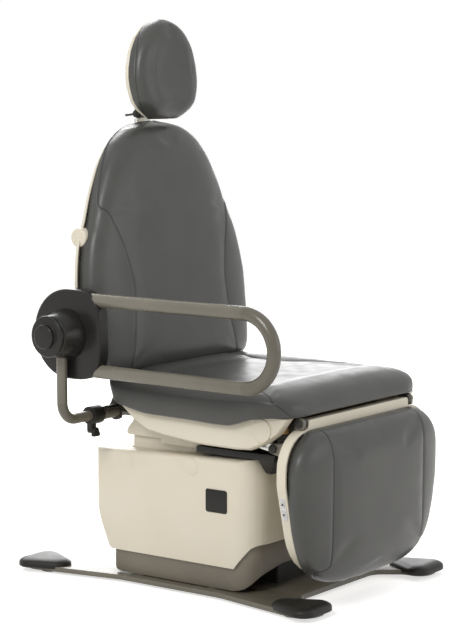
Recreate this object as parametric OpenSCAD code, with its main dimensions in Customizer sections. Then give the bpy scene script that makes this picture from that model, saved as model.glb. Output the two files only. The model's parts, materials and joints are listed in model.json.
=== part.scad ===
// Powered procedure chair in millimetres, +Z up. The sitter faces -Y and has the arm loop on -X.
// The origin is on the floor, under the middle of the base plate. The chair is drawn at its lowest.

/* [Base] */
// Length of the base plate, front to back
plate_l = 870; // [850:5:940]
// Width of the base plate across a pair of feet
plate_w = 604; // [560:2:680]
// Thickness of the base plate
plate_t = 12; // [8:0.5:16]
// Width of the base plate at its waist
waist_w = 496; // [470:2:530]
// Length of the base plate between the feet
waist_l = 636; // [610:2:680]
// Width of each foot of the base plate
foot_w = 98; // [80:1:120]
// Height of a levelling glide under the plate
glide_h = 6; // [4:0.5:10]
// Diameter of a levelling glide
glide_d = 46; // [36:1:60]
// Height of a corner pad above the plate
pad_h = 15; // [12:0.5:24]

/* [Base covers] */
// Outer width of the base shroud
shroud_w = 464; // [440:2:500]
// Front face of the base shroud, ahead of the origin
shroud_front = 240; // [225:1:260]
// Rear face of the base shroud, behind the origin
shroud_rear = 247; // [234:1:258]
// Height of the lower edge of the base shroud above the floor
shroud_low = 76; // [66:1:90]
// Height of the shroud's front top edge
shroud_top = 337; // [328:1:342]
// Wall of the moulded covers
cover_wall = 4; // [3:0.5:6]
// Gap between the plinth cover and the shroud round it
plinth_inset = 8; // [6:0.5:12]

/* [Lift column] */
// Height that the seat rises above its lowest place
lift_travel = 400; // [300:10:410]
// Width of the outer tube of the lift column
column_w = 190; // [170:2:210]
// Depth of the outer tube of the lift column
column_d = 130; // [116:2:140]
// Wall of each column tube
column_wall = 5; // [4:0.5:6]
// Gap between neighbouring column tubes
column_gap = 0.6; // [0.3:0.1:1]
// Distance of the column's centre behind the origin
column_y = 58; // [50:1:64]

/* [Seat] */
// Height of the seat top above the floor
seat_top = 521; // [505:1:540]
// Width of the seat cushion
seat_w = 604; // [580:2:640]
// Front of the seat cushion, ahead of the origin
seat_front = 380; // [370:1:392]
// Rear of the seat cushion, behind the origin
seat_rear = 153; // [146:1:158]
// Width of the seat side covers over their outer faces
side_cover_w = 548; // [530:2:570]
// Diameter of the round caps on the seat and back covers
cap_d = 54; // [50:1:70]

/* [Back] */
// Lean of the back from upright at rest
recline = 6.4; // [0:0.1:12]
// Height of the back hinge above the floor
back_axis_z = 481; // [474:1:488]
// Distance of the back hinge behind the origin
back_axis_y = 176; // [170:1:184]
// Widest part of the back cushion
back_w = 626; // [600:2:640]
// Height of the back cushion above its hinge
back_h = 633; // [600:1:700]
// Thickness of the back cushion at its edge
back_t = 62; // [50:1:70]
// Depth of the moulded back shell behind the cushion
back_shell_t = 30; // [26:1:38]

/* [Headrest] */
// Width of the headrest cushion
head_w = 244; // [200:2:280]
// Height of the headrest cushion
head_h = 244; // [200:2:290]
// Thickness of the headrest cushion
head_t = 56; // [44:1:66]
// Lean of the headrest from upright
head_lean = 3.8; // [0:0.1:10]
// Width of the flat headrest bar
bar_w = 54; // [40:1:64]
// Thickness of the flat headrest bar
bar_t = 8; // [6:0.5:10]

/* [Leg rest] */
// Widest part of the leg rest frame
legrest_w = 616; // [590:2:640]
// Height of the leg rest frame's lower edge above the floor
legrest_low = 80; // [68:1:88]
// Thickness of the moulded leg rest frame
legrest_frame_t = 24; // [20:1:28]
// Rear face of the leg rest frame, ahead of the origin
legrest_rear = 356; // [350:1:360]
// Thickness of the leg rest cushion at its middle
legrest_t = 59; // [50:1:64]
// Height of the leg rest hinge above the floor
legrest_axis_z = 440; // [436:0.5:444]
// Distance of the leg rest hinge ahead of the origin
legrest_axis_y = 368; // [364:0.5:372]

/* [Arm] */
// Diameter of the arm loop's tube
arm_tube_d = 32; // [25:0.5:38]
// Distance between the two straight runs of the arm loop
arm_loop_h = 168; // [150:1:176]
// Length of the arm loop's runs, from the hub axis to the bend
arm_reach = 518; // [440:1:560]
// Outward turn of the whole arm, seen from above
arm_splay = 2; // [0:0.5:4]
// Distance of the arm post from the chair's middle
arm_post_x = 395; // [392:1:410]
// Distance of the arm post behind the origin
arm_post_y = 202; // [200:1:206]
// Height of the arm socket above the floor
arm_socket_z = 411; // [408:1:414]
// Height of the hub axis above the arm socket
hub_rise = 206; // [196:1:220]
// Diameter of the hub pod
hub_d = 214; // [206:1:224]
// Diameter of the arm post's tube
post_d = 25.4; // [22:0.2:28]
// Diameter of the hub's hand knob
knob_d = 98; // [80:1:104]

/* [Hidden] */
$fn = 48;
// Chords in each rounded corner of an outline
arc_steps = 7;
// Overrun of every cut past the face it starts from
over = 2;
// Gap round a soft solid and between flat faces that move past each other
soft_gap = 0.3;
// Radial running clearance of a pin in its bore
run_gap = 0.05;
// Side gap between a plate and the plate that turns beside it
side_gap = 1;

// Base plate and feet
plate_top = glide_h + plate_t;
pad_inset = 66;
pad_x = plate_w / 2 - foot_w / 2;
pad_y = plate_l / 2 - pad_inset;
flare_y = 150;
foot_r = 44;
foot_inner_r = 36;
knee_in = 57;
knee_y = plate_l / 2 - knee_in;
crotch_x = 160;
crotch_r = 44;
waist_r = 220;
stem_d = 10;
stem_rise = 8;
pad_r = 34;
pad_crown_r = 15;
pad_lip = 8;
pad_depth = 122;
pad_clear = 11;
pad_shoulder = 4;
anchor_x = 170;
anchor_y = 150;
anchor_d = 11;

// Base covers
shroud_drop = 16;
shroud_front_r = 62;
shroud_rear_r = 30;
shroud_edge_r = 13;
shroud_tuck = 53;
shroud_tuck_z = 200;
shroud_tuck_r = 70;
shroud_l = shroud_front + shroud_rear;
deck_slope = atan(shroud_drop / shroud_l);
deck_gap = 4;
arch_start = 178;
arch_top = 134;
arch_run = 46;
arch_r = 30;
plinth_w = shroud_w - 2 * plinth_inset;
plinth_front = shroud_front - plinth_inset;
plinth_low = plate_top + 3 * cover_wall / 4;
plinth_top = 156;
plinth_rear = 188;
plinth_foot_r = 22;
plinth_rear_r = 10;
plinth_arch_w = 380;
plinth_arch_z = 74;
plinth_arch_r = 58;
plinth_crown_w = 220;
plinth_crown_r = 120;
plinth_arch_low = 14;
plinth_shoulder = 14;
plinth_tab = 18;
tab_y = 110;
tab_z = 120;
side_cap_d = 42;
side_cap_t = 1.6;
side_cap_y = [-55, 142];
side_cap_drop = 27;
badge_w = 62;
badge_h = 55;
badge_t = 2;
badge_r = 6;
badge_y = 131;
badge_z = 232;

// Lift column: each stage fits inside the one above it
column_r = 20;
column_top = 370;
stage_overlap = 78;
column_low = column_top - lift_travel / 2 - stage_overlap;
column_web_t = 5;
column_cap_t = 8;
column_cap_gap = 8;
foot_flange = 36;
foot_flange_t = 8;
foot_bolt_d = 10;
foot_bolt_in = 22;
riser_x = 45;
riser_front = 40;
riser_rear = 105;

// Drive, controls and mains inlet inside the base
motor_d = 66;
motor_l = 120;
motor_y = 68;
motor_cap_l = 14;
gear_share = 0.8;
motor_cap_share = 0.7;
box_w = 180;
box_l = 74;
box_h = 58;
box_r = 5;
box_inset = 24;
fin_w = 12;
fin_h = 4;
fin_pitch = 30;
inlet_w = 30;
inlet_h = 24;
inlet_l = 26;
inlet_z = 46;
inlet_rim = 8;
inlet_wall = 3;
blade_w = 2;
blade_h = 5;
blade_l = 16;
blade_pitch = 7;

// Neck between the base and the seat
neck_side = 32;
neck_w = shroud_w - 2 * neck_side;
neck_front = 62;
neck_rear = 178;
neck_r = 26;
neck_low = 345;
neck_rear_low = 357;
neck_step_y = 60;
neck_taper_y = 145;
neck_taper_z = 392;
neck_roof_front = 370;
neck_top = 398;
stage_wall = 3;
stage_inset = 12;
stage_top = 360;
skirt_inset = 20;
skirt_low = column_low + 2 * cover_wall;

// Pan under the front of the seat
pan_w = 448;
pan_low_w = 384;
pan_rear = 66;
pan_lip_y = 246;
pan_front = 291;
pan_low = 303;
pan_z = 341;
pan_top = 356;
pan_r = 20;
pan_bevel = 12;
hanger_x = 150;
hanger_t = 6;
hanger_front = 210;
hanger_rear = 80;

// Seat structure
seat_l = seat_front + seat_rear;
seat_base = 427;
seat_plate_t = 8;
seat_plate_z = 404;
seat_plate_front = 330;
seat_plate_rear = 186;
seat_plate_w = 410;
seat_board_t = 12;
seat_board_w = 492;
seat_board_rear = 60;
plate_r = 16;
actuator_slot_w = 60;
actuator_slot_front = 110;
seat_top_z = seat_plate_z + seat_plate_t + seat_board_t;
cover_lip = 27;
cover_drop = 59;
cover_cap_y = 290;
cover_cap_z = 421;
cover_cap_rise = 3;
cover_cap_seat = cover_wall / 2;
cover_rib_y = [-180, 0];
cover_rib_t = 12;
cover_rib_h = 20;
bracket_t = 8;
front_bracket_x = 216;
front_flange_w = 26;
front_flange_y = [-325, -250];
front_neck_y = 354;
front_toe_y = 338;
rear_bracket_x = 192;
rear_bracket_front = 140;
rear_eye_front = 158;
receiver_ring = 7;
leg_eye_r = 13;
back_eye_r = 16;
leg_pin_d = 12;
back_pin_d = 14;
back_pin_l = 32;
lug_t = 10;
lug_x = front_bracket_x + bracket_t + 2 * side_gap;
link_t = 6;
link_x = lug_x;
link_lug_t = 8;
link_lug_x = link_x + link_t + side_gap;
link_y = 299;
link_z = 375;
link_lug_r = 12;
link_reach = 67;
link_w = 22;
link_bolt_d = 12;
bolt_head_d = 20;
bolt_head_t = 5;
lug_arm_low = 350;
lug_arm_top = 395;

// Leg rest
legrest_front = legrest_rear + legrest_frame_t;
legrest_band_w = 430;
legrest_band_top = 446;
legrest_band_r = 8;
legrest_shoulder = 426;
legrest_shoulder_r = 88;
legrest_side_z = 304;
legrest_side_r = 110;
legrest_foot_w = 502;
legrest_foot_r = 140;
legrest_rim = 7;
legrest_panel_t = 5;
legrest_pad_w = 612;
legrest_pad_low = 55;
legrest_pad_top = 424;
legrest_pad_crown = 6;
switch_z = 253;
switch_h = 56;
switch_w = 15;
switch_t = 2;
switch_r = 7;
button_h = 16;
button_w = 9;
button_pitch = 27;
button_proud = 1.2;

// Actuators
leg_rod_d = 14;
leg_tube_d = 32;
leg_tube_x = -70;
leg_tube_z = 387;
leg_tube_front = 205;
leg_tube_rear = 35;
leg_rod_rear = 10;
yoke_w = 420;
yoke_y = 232;
clamp_w = 24;
clamp_l = 20;
back_rod_d = 16;
back_tube_d = 30;
back_pivot_y = -100;
back_pivot_z = 387;
back_tube_l = 150;
back_rod_in = 114;
fork_l = 38;
fork_t = 5;
crank_y = 58;
crank_z = -48;
crank_t = 10;
crank_r = 12;
crank_pin_d = 10;
crank_gap = 0.6;
rod_run = back_axis_y + crank_y - back_pivot_y;
rod_rise = back_axis_z + crank_z - back_pivot_z;
rod_l = norm([rod_run, rod_rise]);
rod_slope = atan(rod_rise / rod_run);

// Back and headrest, in the frame of the back hinge
back_plane = 19;
back_low = 37;
shell_low = 36;
back_crown = 14;
shell_grow = 5;
shell_wall = 4;
frame_w = 320;
frame_top = 420;
guide_w = 90;
guide_low = 560;
guide_top = 600;
guide_wall = 4;
torsion_d = 26;
torsion_w = 2 * (rear_bracket_x - 2 * side_gap);
arm_plate_x = 150;
arm_plate_t = 8;
arm_plate_h = 90;
back_cap_d = 46;
back_cap_z = 361;
back_cap_y = 24;
back_cap_x = 289;
back_cap_t = 34;
bar_y = 27;
bar_low = 430;
bar_top = 655;
eye_w = 24;
knuckle_t = 5;
knuckle_w = 22;
knuckle_pin_d = 10;
knuckle_pin_end = 3;
head_axis_y = -5;
head_axis_z = 728;
head_plane = 32;
head_low = 91;
head_dish = -8;
head_shell_t = 15;
lever_l = 34;
lever_d = 6;
lever_hub_d = 18;
lever_hub_t = 7;

// Arm
socket_d = post_d + 2 * run_gap;
socket_wall = 3;
socket_outer_x = 262;
socket_inner_x = 60;
socket_tab_x = 120;
socket_tab_w = 40;
socket_tab_l = 30;
socket_tab_t = 6;
stub_end_x = 150;
post_bend_r = 45;
post_wall = 2.6;
post_seat = 12;
tube_wall = 2.5;
pod_face = 17;
pod_t = 38;
pod_edge_r = 7;
pod_back_t = 15;
pod_back_d = 172;
tube_inset = 18;
tube_seat = 40;
housing_d = 122;
housing_end_d = 94;
housing_l = 58.4;
hub_bolt_d = 16;
knob_t = 11;
knob_edge_r = 4;
knob_cap_d = 58;
knob_cap_t = 12;
collar_l = 36;
lever_in = 9;
collar_d = 44;
lever_axis_drop = 36;
lever_wing_w = 30;
lever_wing_l = 14;
lever_wing_t = 9;
lever_boss_d = 16;
lever_screw_d = 8;
latch_d = 9;
latch_l = 54;
latch_clip_l = 8;

// Cushion outlines, rear to front and top to bottom as shares of the cushion's own sizes.
// Seat: length, half width, bottom, top and seam, each row from the rear
seat_shares = [
    [0, 0.93, 0.755, 0.94, 0.609], [0.009, 0.965, 0.657, 0.985, 0.609], [0.024, 0.98, 0.5, 1, 0.609],
    [0.049, 0.993, 0.245, 1, 0.609], [0.094, 1, 0.19, 1, 0.609], [0.235, 1, 0.053, 1, 0.609],
    [0.33, 1, 0.043, 1, 0.611], [0.448, 1, 0.032, 1, 0.672], [0.52, 1, 0.016, 1, 0.705],
    [0.606, 1, 0, 1, 0.745], [0.674, 1, 0.003, 1, 0.834], [0.707, 1, 0.043, 1, 0.894],
    [0.76, 1, 0.149, 0.99, 0.96], [0.809, 1, 0.223, 0.965, 1], [0.859, 0.99, 0.266, 0.92, 1],
    [0.906, 0.965, 0.298, 0.851, 1], [0.944, 0.927, 0.305, 0.77, 1], [0.972, 0.87, 0.31, 0.66, 1],
    [0.989, 0.79, 0.315, 0.56, 1], [1, 0.72, 0.33, 0.45, 1]];
// Side cover's lower edge: length from the rear, drop and rounding
cover_shares = [
    [0.064, -0.237, 0], [0.133, 0.339, 0.8], [0.205, 0.678, 1], [0.3, 0.814, 1], [0.503, 0.983, 1],
    [0.685, 1, 1], [0.765, 0.949, 1], [0.848, 0.62, 0.9], [0.912, 0.2, 0.6], [0.962, -0.44, 0]];
cover_edge_shares = [[0, 0], [0.56, 0], [0.82, 0.28], [0.96, 0.65], [1, 1]];
cover_round = 8;
// First and last row of the seat outline that the side cover's upper edge follows
cover_rows = [14, 4];
// Back: height, half width, thickness and seam, from the bottom
back_shares = [
    [0, 0.925, 0.72, 0.68], [0.019, 0.942, 0.92, 0.68], [0.066, 0.968, 1, 0.66], [0.167, 0.99, 1, 0.617],
    [0.25, 0.997, 1, 0.593], [0.34, 1, 1, 0.584], [0.405, 0.984, 1, 0.604], [0.49, 0.948, 1, 0.643],
    [0.556, 0.903, 1, 0.688], [0.601, 0.857, 1, 0.72], [0.65, 0.818, 1, 0.76], [0.701, 0.779, 1, 1],
    [0.77, 0.715, 0.99, 1], [0.836, 0.643, 0.97, 1], [0.916, 0.513, 0.91, 1], [0.953, 0.416, 0.83, 1],
    [0.978, 0.318, 0.7, 1], [0.993, 0.201, 0.5, 1], [1, 0.081, 0.3, 1]];
// Headrest: height, half width, thickness and seam, from the bottom
head_shares = [
    [0, 0.42, 0.4, 1], [0.045, 0.57, 0.72, 1], [0.107, 0.75, 0.9, 1], [0.184, 0.885, 0.98, 1],
    [0.324, 0.98, 1, 1], [0.414, 1, 1, 1], [0.504, 0.985, 1, 1], [0.68, 0.88, 1, 1], [0.82, 0.7, 0.95, 1],
    [0.926, 0.46, 0.8, 1], [0.975, 0.26, 0.6, 1], [1, 0.1, 0.4, 1]];
// Leg rest: height, half width, thickness and seam, from the bottom
legrest_shares = [
    [0, 0.24, 0.35, 1], [0.008, 0.4, 0.5, 1], [0.022, 0.54, 0.65, 1], [0.068, 0.69, 0.84, 1],
    [0.154, 0.825, 0.95, 0.647], [0.263, 0.9, 1, 0.647], [0.417, 0.962, 1, 0.647],
    [0.583, 0.995, 1, 0.647], [0.743, 1, 1, 0.647], [0.821, 0.98, 1, 0.647], [0.894, 0.925, 0.95, 0.647],
    [0.957, 0.835, 0.8, 0.647], [0.992, 0.755, 0.5, 0.647], [1, 0.69, 0.2, 0.647]];

// Unit vector along v
function unit(v) = v / norm(v);

// Arc that rounds the corner b of an outline, between a and c; b is [x, y, radius]
function corner(a, b, c) =
    let (p = [b[0], b[1]],
        u = unit([a[0], a[1]] - p),
        w = unit([c[0], c[1]] - p),
        half = acos(max(-1, min(1, u * w))) / 2,
        centre = p + unit(u + w) * b[2] / sin(half),
        s = p + u * b[2] / tan(half) - centre,
        e = p + w * b[2] / tan(half) - centre,
        from = atan2(s[1], s[0]),
        turn = atan2(e[1], e[0]) - from,
        sweep = turn > 180 ? turn - 360 : turn < -180 ? turn + 360 : turn)
    [for (i = [0:arc_steps]) let (a = from + sweep * i / arc_steps) centre + b[2] * [cos(a), sin(a)]];

// Outline with each corner [x, y, radius] rounded; a corner with no radius stays sharp
function rounded(q) = [for (i = [0:len(q) - 1])
    each (is_undef(q[i][2]) || q[i][2] == 0) ? [[q[i][0], q[i][1]]]
        : corner(q[(i + len(q) - 1) % len(q)], q[i], q[(i + 1) % len(q)])];

// Corners of one half of an outline, followed by their mirror images in the Y axis
function both(q) = concat(q, [for (i = [len(q) - 1:-1:0]) [-q[i][0], q[i][1], q[i][2]]]);

// Corners of a quarter outline, carried round all four quadrants
function around(q) = concat(both(q), [for (p = both(q)) [-p[0], -p[1], p[2]]]);

// Rectangle from y0 to y1 with one corner radius at each end
function slab(w, y0, y1, r0, r1) = rounded([
    [w / 2, y0, r0], [w / 2, y1, r1], [-w / 2, y1, r1], [-w / 2, y0, r0]]);

// Extrusion along X, centred, of a profile drawn in Y and Z
module along_x(l) {
    rotate([90, 0, 90]) linear_extrude(l, center = true) children();
}

// Extrusion along Y, centred, of a profile drawn in X and Z
module along_y(l) {
    rotate([90, 0, 0]) linear_extrude(l, center = true) children();
}

// Round bar along X from x0 to x1
module bar_x(d, x0, x1) {
    translate([min(x0, x1), 0, 0]) rotate([0, 90, 0]) cylinder(d = d, h = abs(x1 - x0));
}

// The same piece on both sides of the chair
module both_sides() {
    children();
    mirror([1, 0, 0]) children();
}

// Plate normal to X between x0 and x1, with its profile drawn in Y and Z
module plate_x(x0, x1) {
    translate([(x0 + x1) / 2, 0, 0]) along_x(x1 - x0) children();
}

// Flat end over a ring of m points: the first half of the ring is joined across to the second
function ring_end(m) = [for (i = [0:ceil(m / 2) - 2]) let (j = m - 1 - i)
    each [[i, i + 1, j], if (i + 1 < j - 1) [i + 1, j - 1, j]]];

// Closed skin through rings of points, each ring flat and as long as the next
module loft(rings) {
    m = len(rings[0]);
    n = len(rings);
    skin = [for (r = [0:n - 2]) for (i = [0:m - 1]) let (j = (i + 1) % m)
        each [[r * m + i, r * m + j, (r + 1) * m + j], [r * m + i, (r + 1) * m + j, (r + 1) * m + i]]];
    first = [for (f = ring_end(m)) [f[2], f[1], f[0]]];
    last = [for (f = ring_end(m)) [for (i = f) i + (n - 1) * m]];
    polyhedron([for (r = rings) each r], concat(skin, first, last));
}

// Flat bar with round ends, w wide, from a to b
bar_end_share = 0.98;
module strap(a, b, w) {
    r = w / 2 * bar_end_share;
    l = norm(b - a);
    translate(a) rotate(atan2(b[1] - a[1], b[0] - a[0])) polygon(rounded([
        [-w / 2, -w / 2, r], [l + w / 2, -w / 2, r], [l + w / 2, w / 2, r], [-w / 2, w / 2, r]]));
}

// Outline of a padded section: x across, n out of the base. The sides are drawn in at the base,
// the face swells by crown in the middle, and a sewn seam lies at the angle seam, sunk by dip.
pad_roundness = 0.42;
pad_turns = 5;
pad_seam_turn = 4.5;
pad_draw_share = 0.025;
function pad_point(a, w, t, crown, sink) =
    let (c = pow(max(0, cos(a)), pad_roundness), s = pow(max(0, sin(a)), pad_roundness))
    [w * c * (1 - pad_draw_share * (1 - s) * (1 - s)) - sink * cos(a),
        (t + crown * (1 - c * c)) * s - sink * sin(a)];
function pad_half(w, t, crown, seam, dip) = [
    for (i = [0:pad_turns]) pad_point((seam - pad_seam_turn) * i / pad_turns, w, t, crown, 0),
    pad_point(seam, w, t, crown, dip),
    for (i = [0:pad_turns]) let (low = seam + pad_seam_turn)
        pad_point(low + (90 - low) * i / pad_turns, w, t, crown, 0)];
function pad_section(w, t, crown, seam, dip) =
    let (h = pad_half(w, t, crown, seam, dip))
    concat(h, [for (i = [len(h) - 2:-1:0]) [-h[i][0], h[i][1]]]);

// Base plate outline, grown all round by g
module plate_outline(g = 0) {
    polygon(rounded(around([
        [waist_w / 2 + g, flare_y, waist_r],
        [plate_w / 2 + g, plate_l / 2 + g, foot_r + g],
        [plate_w / 2 - foot_w - g, plate_l / 2 + g, foot_inner_r + g],
        [plate_w / 2 - foot_w - g, knee_y, foot_inner_r],
        [crotch_x, waist_l / 2 + g, crotch_r]])));
}

// A place in each of the four quarters, x and y out from the middle
module at_corners(x, y) {
    for (sx = [-1, 1]) for (sy = [-1, 1]) translate([sx * x, sy * y, 0]) children();
}

module base_plate() {
    color("dimgray") difference() {
        translate([0, 0, glide_h]) linear_extrude(plate_t) plate_outline();
        translate([0, 0, glide_h - over]) {
            at_corners(pad_x, pad_y) cylinder(d = stem_d + 2 * run_gap, h = plate_t + 2 * over);
            at_corners(anchor_x, anchor_y) cylinder(d = anchor_d, h = plate_t + 2 * over);
            translate([0, column_y, 0]) at_corners(foot_bolt_x, foot_bolt_y)
                cylinder(d = foot_bolt_d, h = plate_t + 2 * over);
        }
    }
}

// Moulded pad that wraps one foot of the plate
module corner_pad() {
    reach_x = plate_w / 2 + pad_lip - pad_r;
    inner_x = plate_w / 2 - foot_w - pad_lip + pad_r;
    reach_y = plate_l / 2 + pad_lip - pad_r;
    tail_y = plate_l / 2 - pad_depth + pad_r;
    difference() {
        hull() for (p = [[reach_x, reach_y], [inner_x, reach_y], [pad_x, tail_y]])
            translate([p[0], p[1], pad_clear]) {
                cylinder(r = pad_r, h = plate_top + pad_shoulder - pad_clear, $fn = 32);
                cylinder(r = pad_crown_r, h = plate_top + pad_h - pad_clear, $fn = 32);
            }
        linear_extrude(plate_top) plate_outline(run_gap);
        translate([pad_x, pad_y, 0]) cylinder(d = stem_d + 2 * soft_gap, h = plate_top + stem_rise + soft_gap);
    }
}

module corner_pads() {
    color("black") for (sx = [0, 1]) for (sy = [0, 1])
        mirror([sx, 0, 0]) mirror([0, sy, 0]) corner_pad();
}

module levelling_glides() {
    color("black") at_corners(pad_x, pad_y) {
        cylinder(d = glide_d, h = glide_h);
        cylinder(d = stem_d, h = plate_top + stem_rise);
    }
}

// Plan of the plinth cover, drawn in by inset
module plinth_plan(inset) {
    polygon(slab(plinth_w - 2 * inset, inset - plinth_front, plinth_rear - inset,
        shroud_front_r - plinth_inset - inset, plinth_rear_r - inset));
}

// Opening at the foot of the front of the plinth cover
module plinth_arch() {
    translate([0, -plinth_front, 0]) along_y(2 * (plinth_front - arch_start)) polygon(rounded(both([
        [shroud_w / 2, 0],
        [shroud_w / 2, plinth_arch_low],
        [plinth_arch_w / 2, plinth_arch_z - plinth_shoulder, plinth_arch_r],
        [plinth_crown_w / 2, plinth_arch_z, plinth_crown_r]])));
}

module plinth_cover() {
    tab_x = plinth_w / 2 - cover_wall;
    color("dimgray") {
        difference() {
            intersection() {
                translate([0, 0, plinth_low]) linear_extrude(plinth_top - plinth_low) plinth_plan(0);
                along_x(shroud_w) polygon(rounded([
                    [-shroud_front, plinth_low], [plinth_rear, plinth_low, plinth_foot_r],
                    [plinth_rear, plinth_top], [-shroud_front, plinth_top]]));
            }
            linear_extrude(plinth_top + over) plinth_plan(cover_wall);
            plinth_arch();
            translate([0, plinth_rear, inlet_z]) cube([inlet_w, 2 * inlet_l, inlet_h], center = true);
        }
        // Feet that stand on the plate, and pads that carry the shroud
        for (sy = [-1, 1]) both_sides() translate([tab_x, sy * tab_y - plinth_tab / 2, 0]) {
            translate([-plinth_tab, 0, plate_top]) cube([plinth_tab + cover_wall / 2, plinth_tab, plinth_tab]);
            translate([cover_wall / 2, 0, tab_z])
                cube([plinth_inset - cover_wall / 2, plinth_tab, plinth_top - tab_z]);
        }
    }
}

// Solid of the base shroud, drawn in on every side by inset
module shroud_body(inset) {
    low = shroud_low - (inset > 0 ? over : 0);
    intersection() {
        translate([0, 0, low]) linear_extrude(shroud_top) polygon(slab(
            shroud_w - 2 * inset, inset - shroud_front, shroud_rear - inset,
            shroud_front_r - inset, shroud_rear_r - inset));
        along_x(shroud_w) polygon(rounded([
            [inset - shroud_front, low],
            [shroud_rear - shroud_tuck - inset, low, inset > 0 ? 0 : shroud_edge_r],
            [shroud_rear - inset, shroud_tuck_z, shroud_tuck_r],
            [shroud_rear - inset, shroud_top - shroud_drop - inset, shroud_edge_r],
            [inset - shroud_front, shroud_top - inset, shroud_edge_r]]));
        translate([0, -shroud_front, shroud_top - inset]) rotate([-deck_slope, 0, 0])
            along_y(3 * shroud_l) polygon(rounded(both([
                [shroud_w / 2 - inset, -shroud_top], [shroud_w / 2 - inset, 0, shroud_edge_r]])));
    }
}

// Plan of the middle cover of the neck, grown by g
module stage_plan(g) {
    polygon(slab(neck_w - 2 * (stage_inset - g), stage_inset - neck_front - g, neck_rear - stage_inset + g,
        neck_r + g, neck_r + g));
}

// The round caps on the sides of the base shroud, on +X
module side_cap_places() {
    for (y = side_cap_y)
        translate([shroud_w / 2, y, shroud_top - side_cap_drop - shroud_drop * (y + shroud_front) / shroud_l])
            children();
}

module base_shroud() {
    color("bisque") difference() {
        shroud_body(0);
        shroud_body(cover_wall);
        linear_extrude(shroud_top + over) stage_plan(deck_gap);
        along_x(2 * shroud_w) polygon(rounded([
            [-2 * shroud_front, 0], [-arch_start, 0], [-arch_start, shroud_low - over],
            [-arch_start - arch_run, arch_top, arch_r], [-2 * shroud_front, arch_top]]));
        both_sides() side_cap_places() bar_x(side_cap_d + 2 * run_gap, -side_cap_t, over);
    }
}

module shroud_caps() {
    color("bisque") both_sides() side_cap_places() bar_x(side_cap_d, -side_cap_t, side_cap_t / 4);
}

module badge_plate() {
    color("black") plate_x(-shroud_w / 2 - badge_t, -shroud_w / 2) translate([-badge_y, badge_z - badge_h / 2])
        polygon(rounded(both([[badge_w / 2, 0, badge_r], [badge_w / 2, badge_h, badge_r]])));
}

// Plan of one column stage, counted from the outermost, drawn in by inset
module stage_tube(n, inset) {
    step = n * (column_wall + column_gap) + inset;
    translate([0, column_y]) polygon(slab(column_w - 2 * step, step - column_d / 2, column_d / 2 - step,
        column_r - step, column_r - step));
}

// Tube of one column stage
module column_tube(n, z0, z1) {
    translate([0, 0, z0]) linear_extrude(z1 - z0) difference() {
        stage_tube(n, 0);
        stage_tube(n, column_wall);
    }
}
foot_w_in = column_w - 4 * (column_wall + column_gap);
foot_d_in = column_d - 4 * (column_wall + column_gap);
foot_bolt_x = (foot_w_in + foot_flange) / 2;
foot_bolt_y = foot_d_in / 2 - foot_bolt_in;

module column_lower() {
    color("gray") {
        column_tube(2, plate_top, column_top - column_cap_t - column_cap_gap);
        translate([0, 0, plate_top]) linear_extrude(foot_flange_t) difference() {
            translate([0, column_y]) polygon(slab(foot_w_in + 2 * foot_flange, -foot_d_in / 2, foot_d_in / 2,
                column_wall, column_wall));
            stage_tube(2, column_wall);
            translate([0, column_y]) for (sx = [-1, 1]) for (sy = [-1, 1])
                translate([sx * foot_bolt_x, sy * foot_bolt_y]) circle(d = foot_bolt_d);
        }
    }
}

module column_bolts() {
    color("silver") translate([0, column_y, glide_h]) at_corners(foot_bolt_x, foot_bolt_y) {
        cylinder(d = foot_bolt_d, h = plate_t + foot_flange_t);
        translate([0, 0, plate_t + foot_flange_t]) cylinder(d = bolt_head_d, h = bolt_head_t, $fn = 6);
    }
}

module lift_motor() {
    gear_h = motor_d * gear_share;
    translate([0, -motor_y, plate_top]) {
        color("black") translate([0, 0, motor_d / 2]) {
            bar_x(motor_d, -motor_l / 2, motor_l / 2);
            bar_x(motor_d * motor_cap_share, motor_l / 2, motor_l / 2 + motor_cap_l);
        }
        color("silver") translate([-motor_d / 2, 0, 0])
            cube([motor_d, motor_y + column_y - foot_d_in / 2, gear_h]);
    }
}

module control_box() {
    color("black") translate([0, box_inset - plinth_front, plate_top]) {
        linear_extrude(box_h) polygon(slab(box_w, 0, box_l, box_r, box_r));
        for (i = [-2:2]) translate([i * fin_pitch - fin_w / 2, box_r, box_h])
            cube([fin_w, box_l - 2 * box_r, fin_h]);
    }
}

module power_inlet() {
    cup_l = inlet_l - inlet_wall;
    translate([0, plinth_rear, inlet_z]) {
        color("black") difference() {
            union() {
                translate([-inlet_w / 2, -inlet_l, -inlet_h / 2]) cube([inlet_w, inlet_l + over, inlet_h]);
                translate([-inlet_w / 2 - inlet_rim, 0, -(inlet_h + inlet_rim) / 2])
                    cube([inlet_w + 2 * inlet_rim, over, inlet_h + inlet_rim]);
            }
            translate([inlet_wall - inlet_w / 2, -cup_l, inlet_wall - inlet_h / 2])
                cube([inlet_w - 2 * inlet_wall, cup_l + 2 * over, inlet_h - 2 * inlet_wall]);
        }
        color("silver") for (i = [-1:1]) translate([i * blade_pitch - blade_w / 2, -cup_l, -blade_h / 2])
            cube([blade_w, blade_l, blade_h]);
    }
}

module column_middle() {
    color("gray") column_tube(1, column_low, column_top - column_cap_t - column_cap_gap / 2);
}

module middle_shroud() {
    color("bisque") translate([0, 0, column_low]) {
        linear_extrude(stage_top - column_low) difference() {
            stage_plan(0);
            stage_plan(-stage_wall);
        }
        linear_extrude(column_web_t) difference() {
            stage_plan(0);
            stage_tube(1, 0);
        }
    }
}

module column_upper() {
    color("gray") {
        column_tube(0, skirt_low, column_top);
        translate([0, 0, column_top - column_cap_t]) linear_extrude(column_cap_t) stage_tube(0, 0);
        both_sides() translate([riser_x, riser_front, column_top])
            cube([column_w / 2 - riser_x, riser_rear - riser_front, seat_plate_z - column_top]);
    }
}

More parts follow.
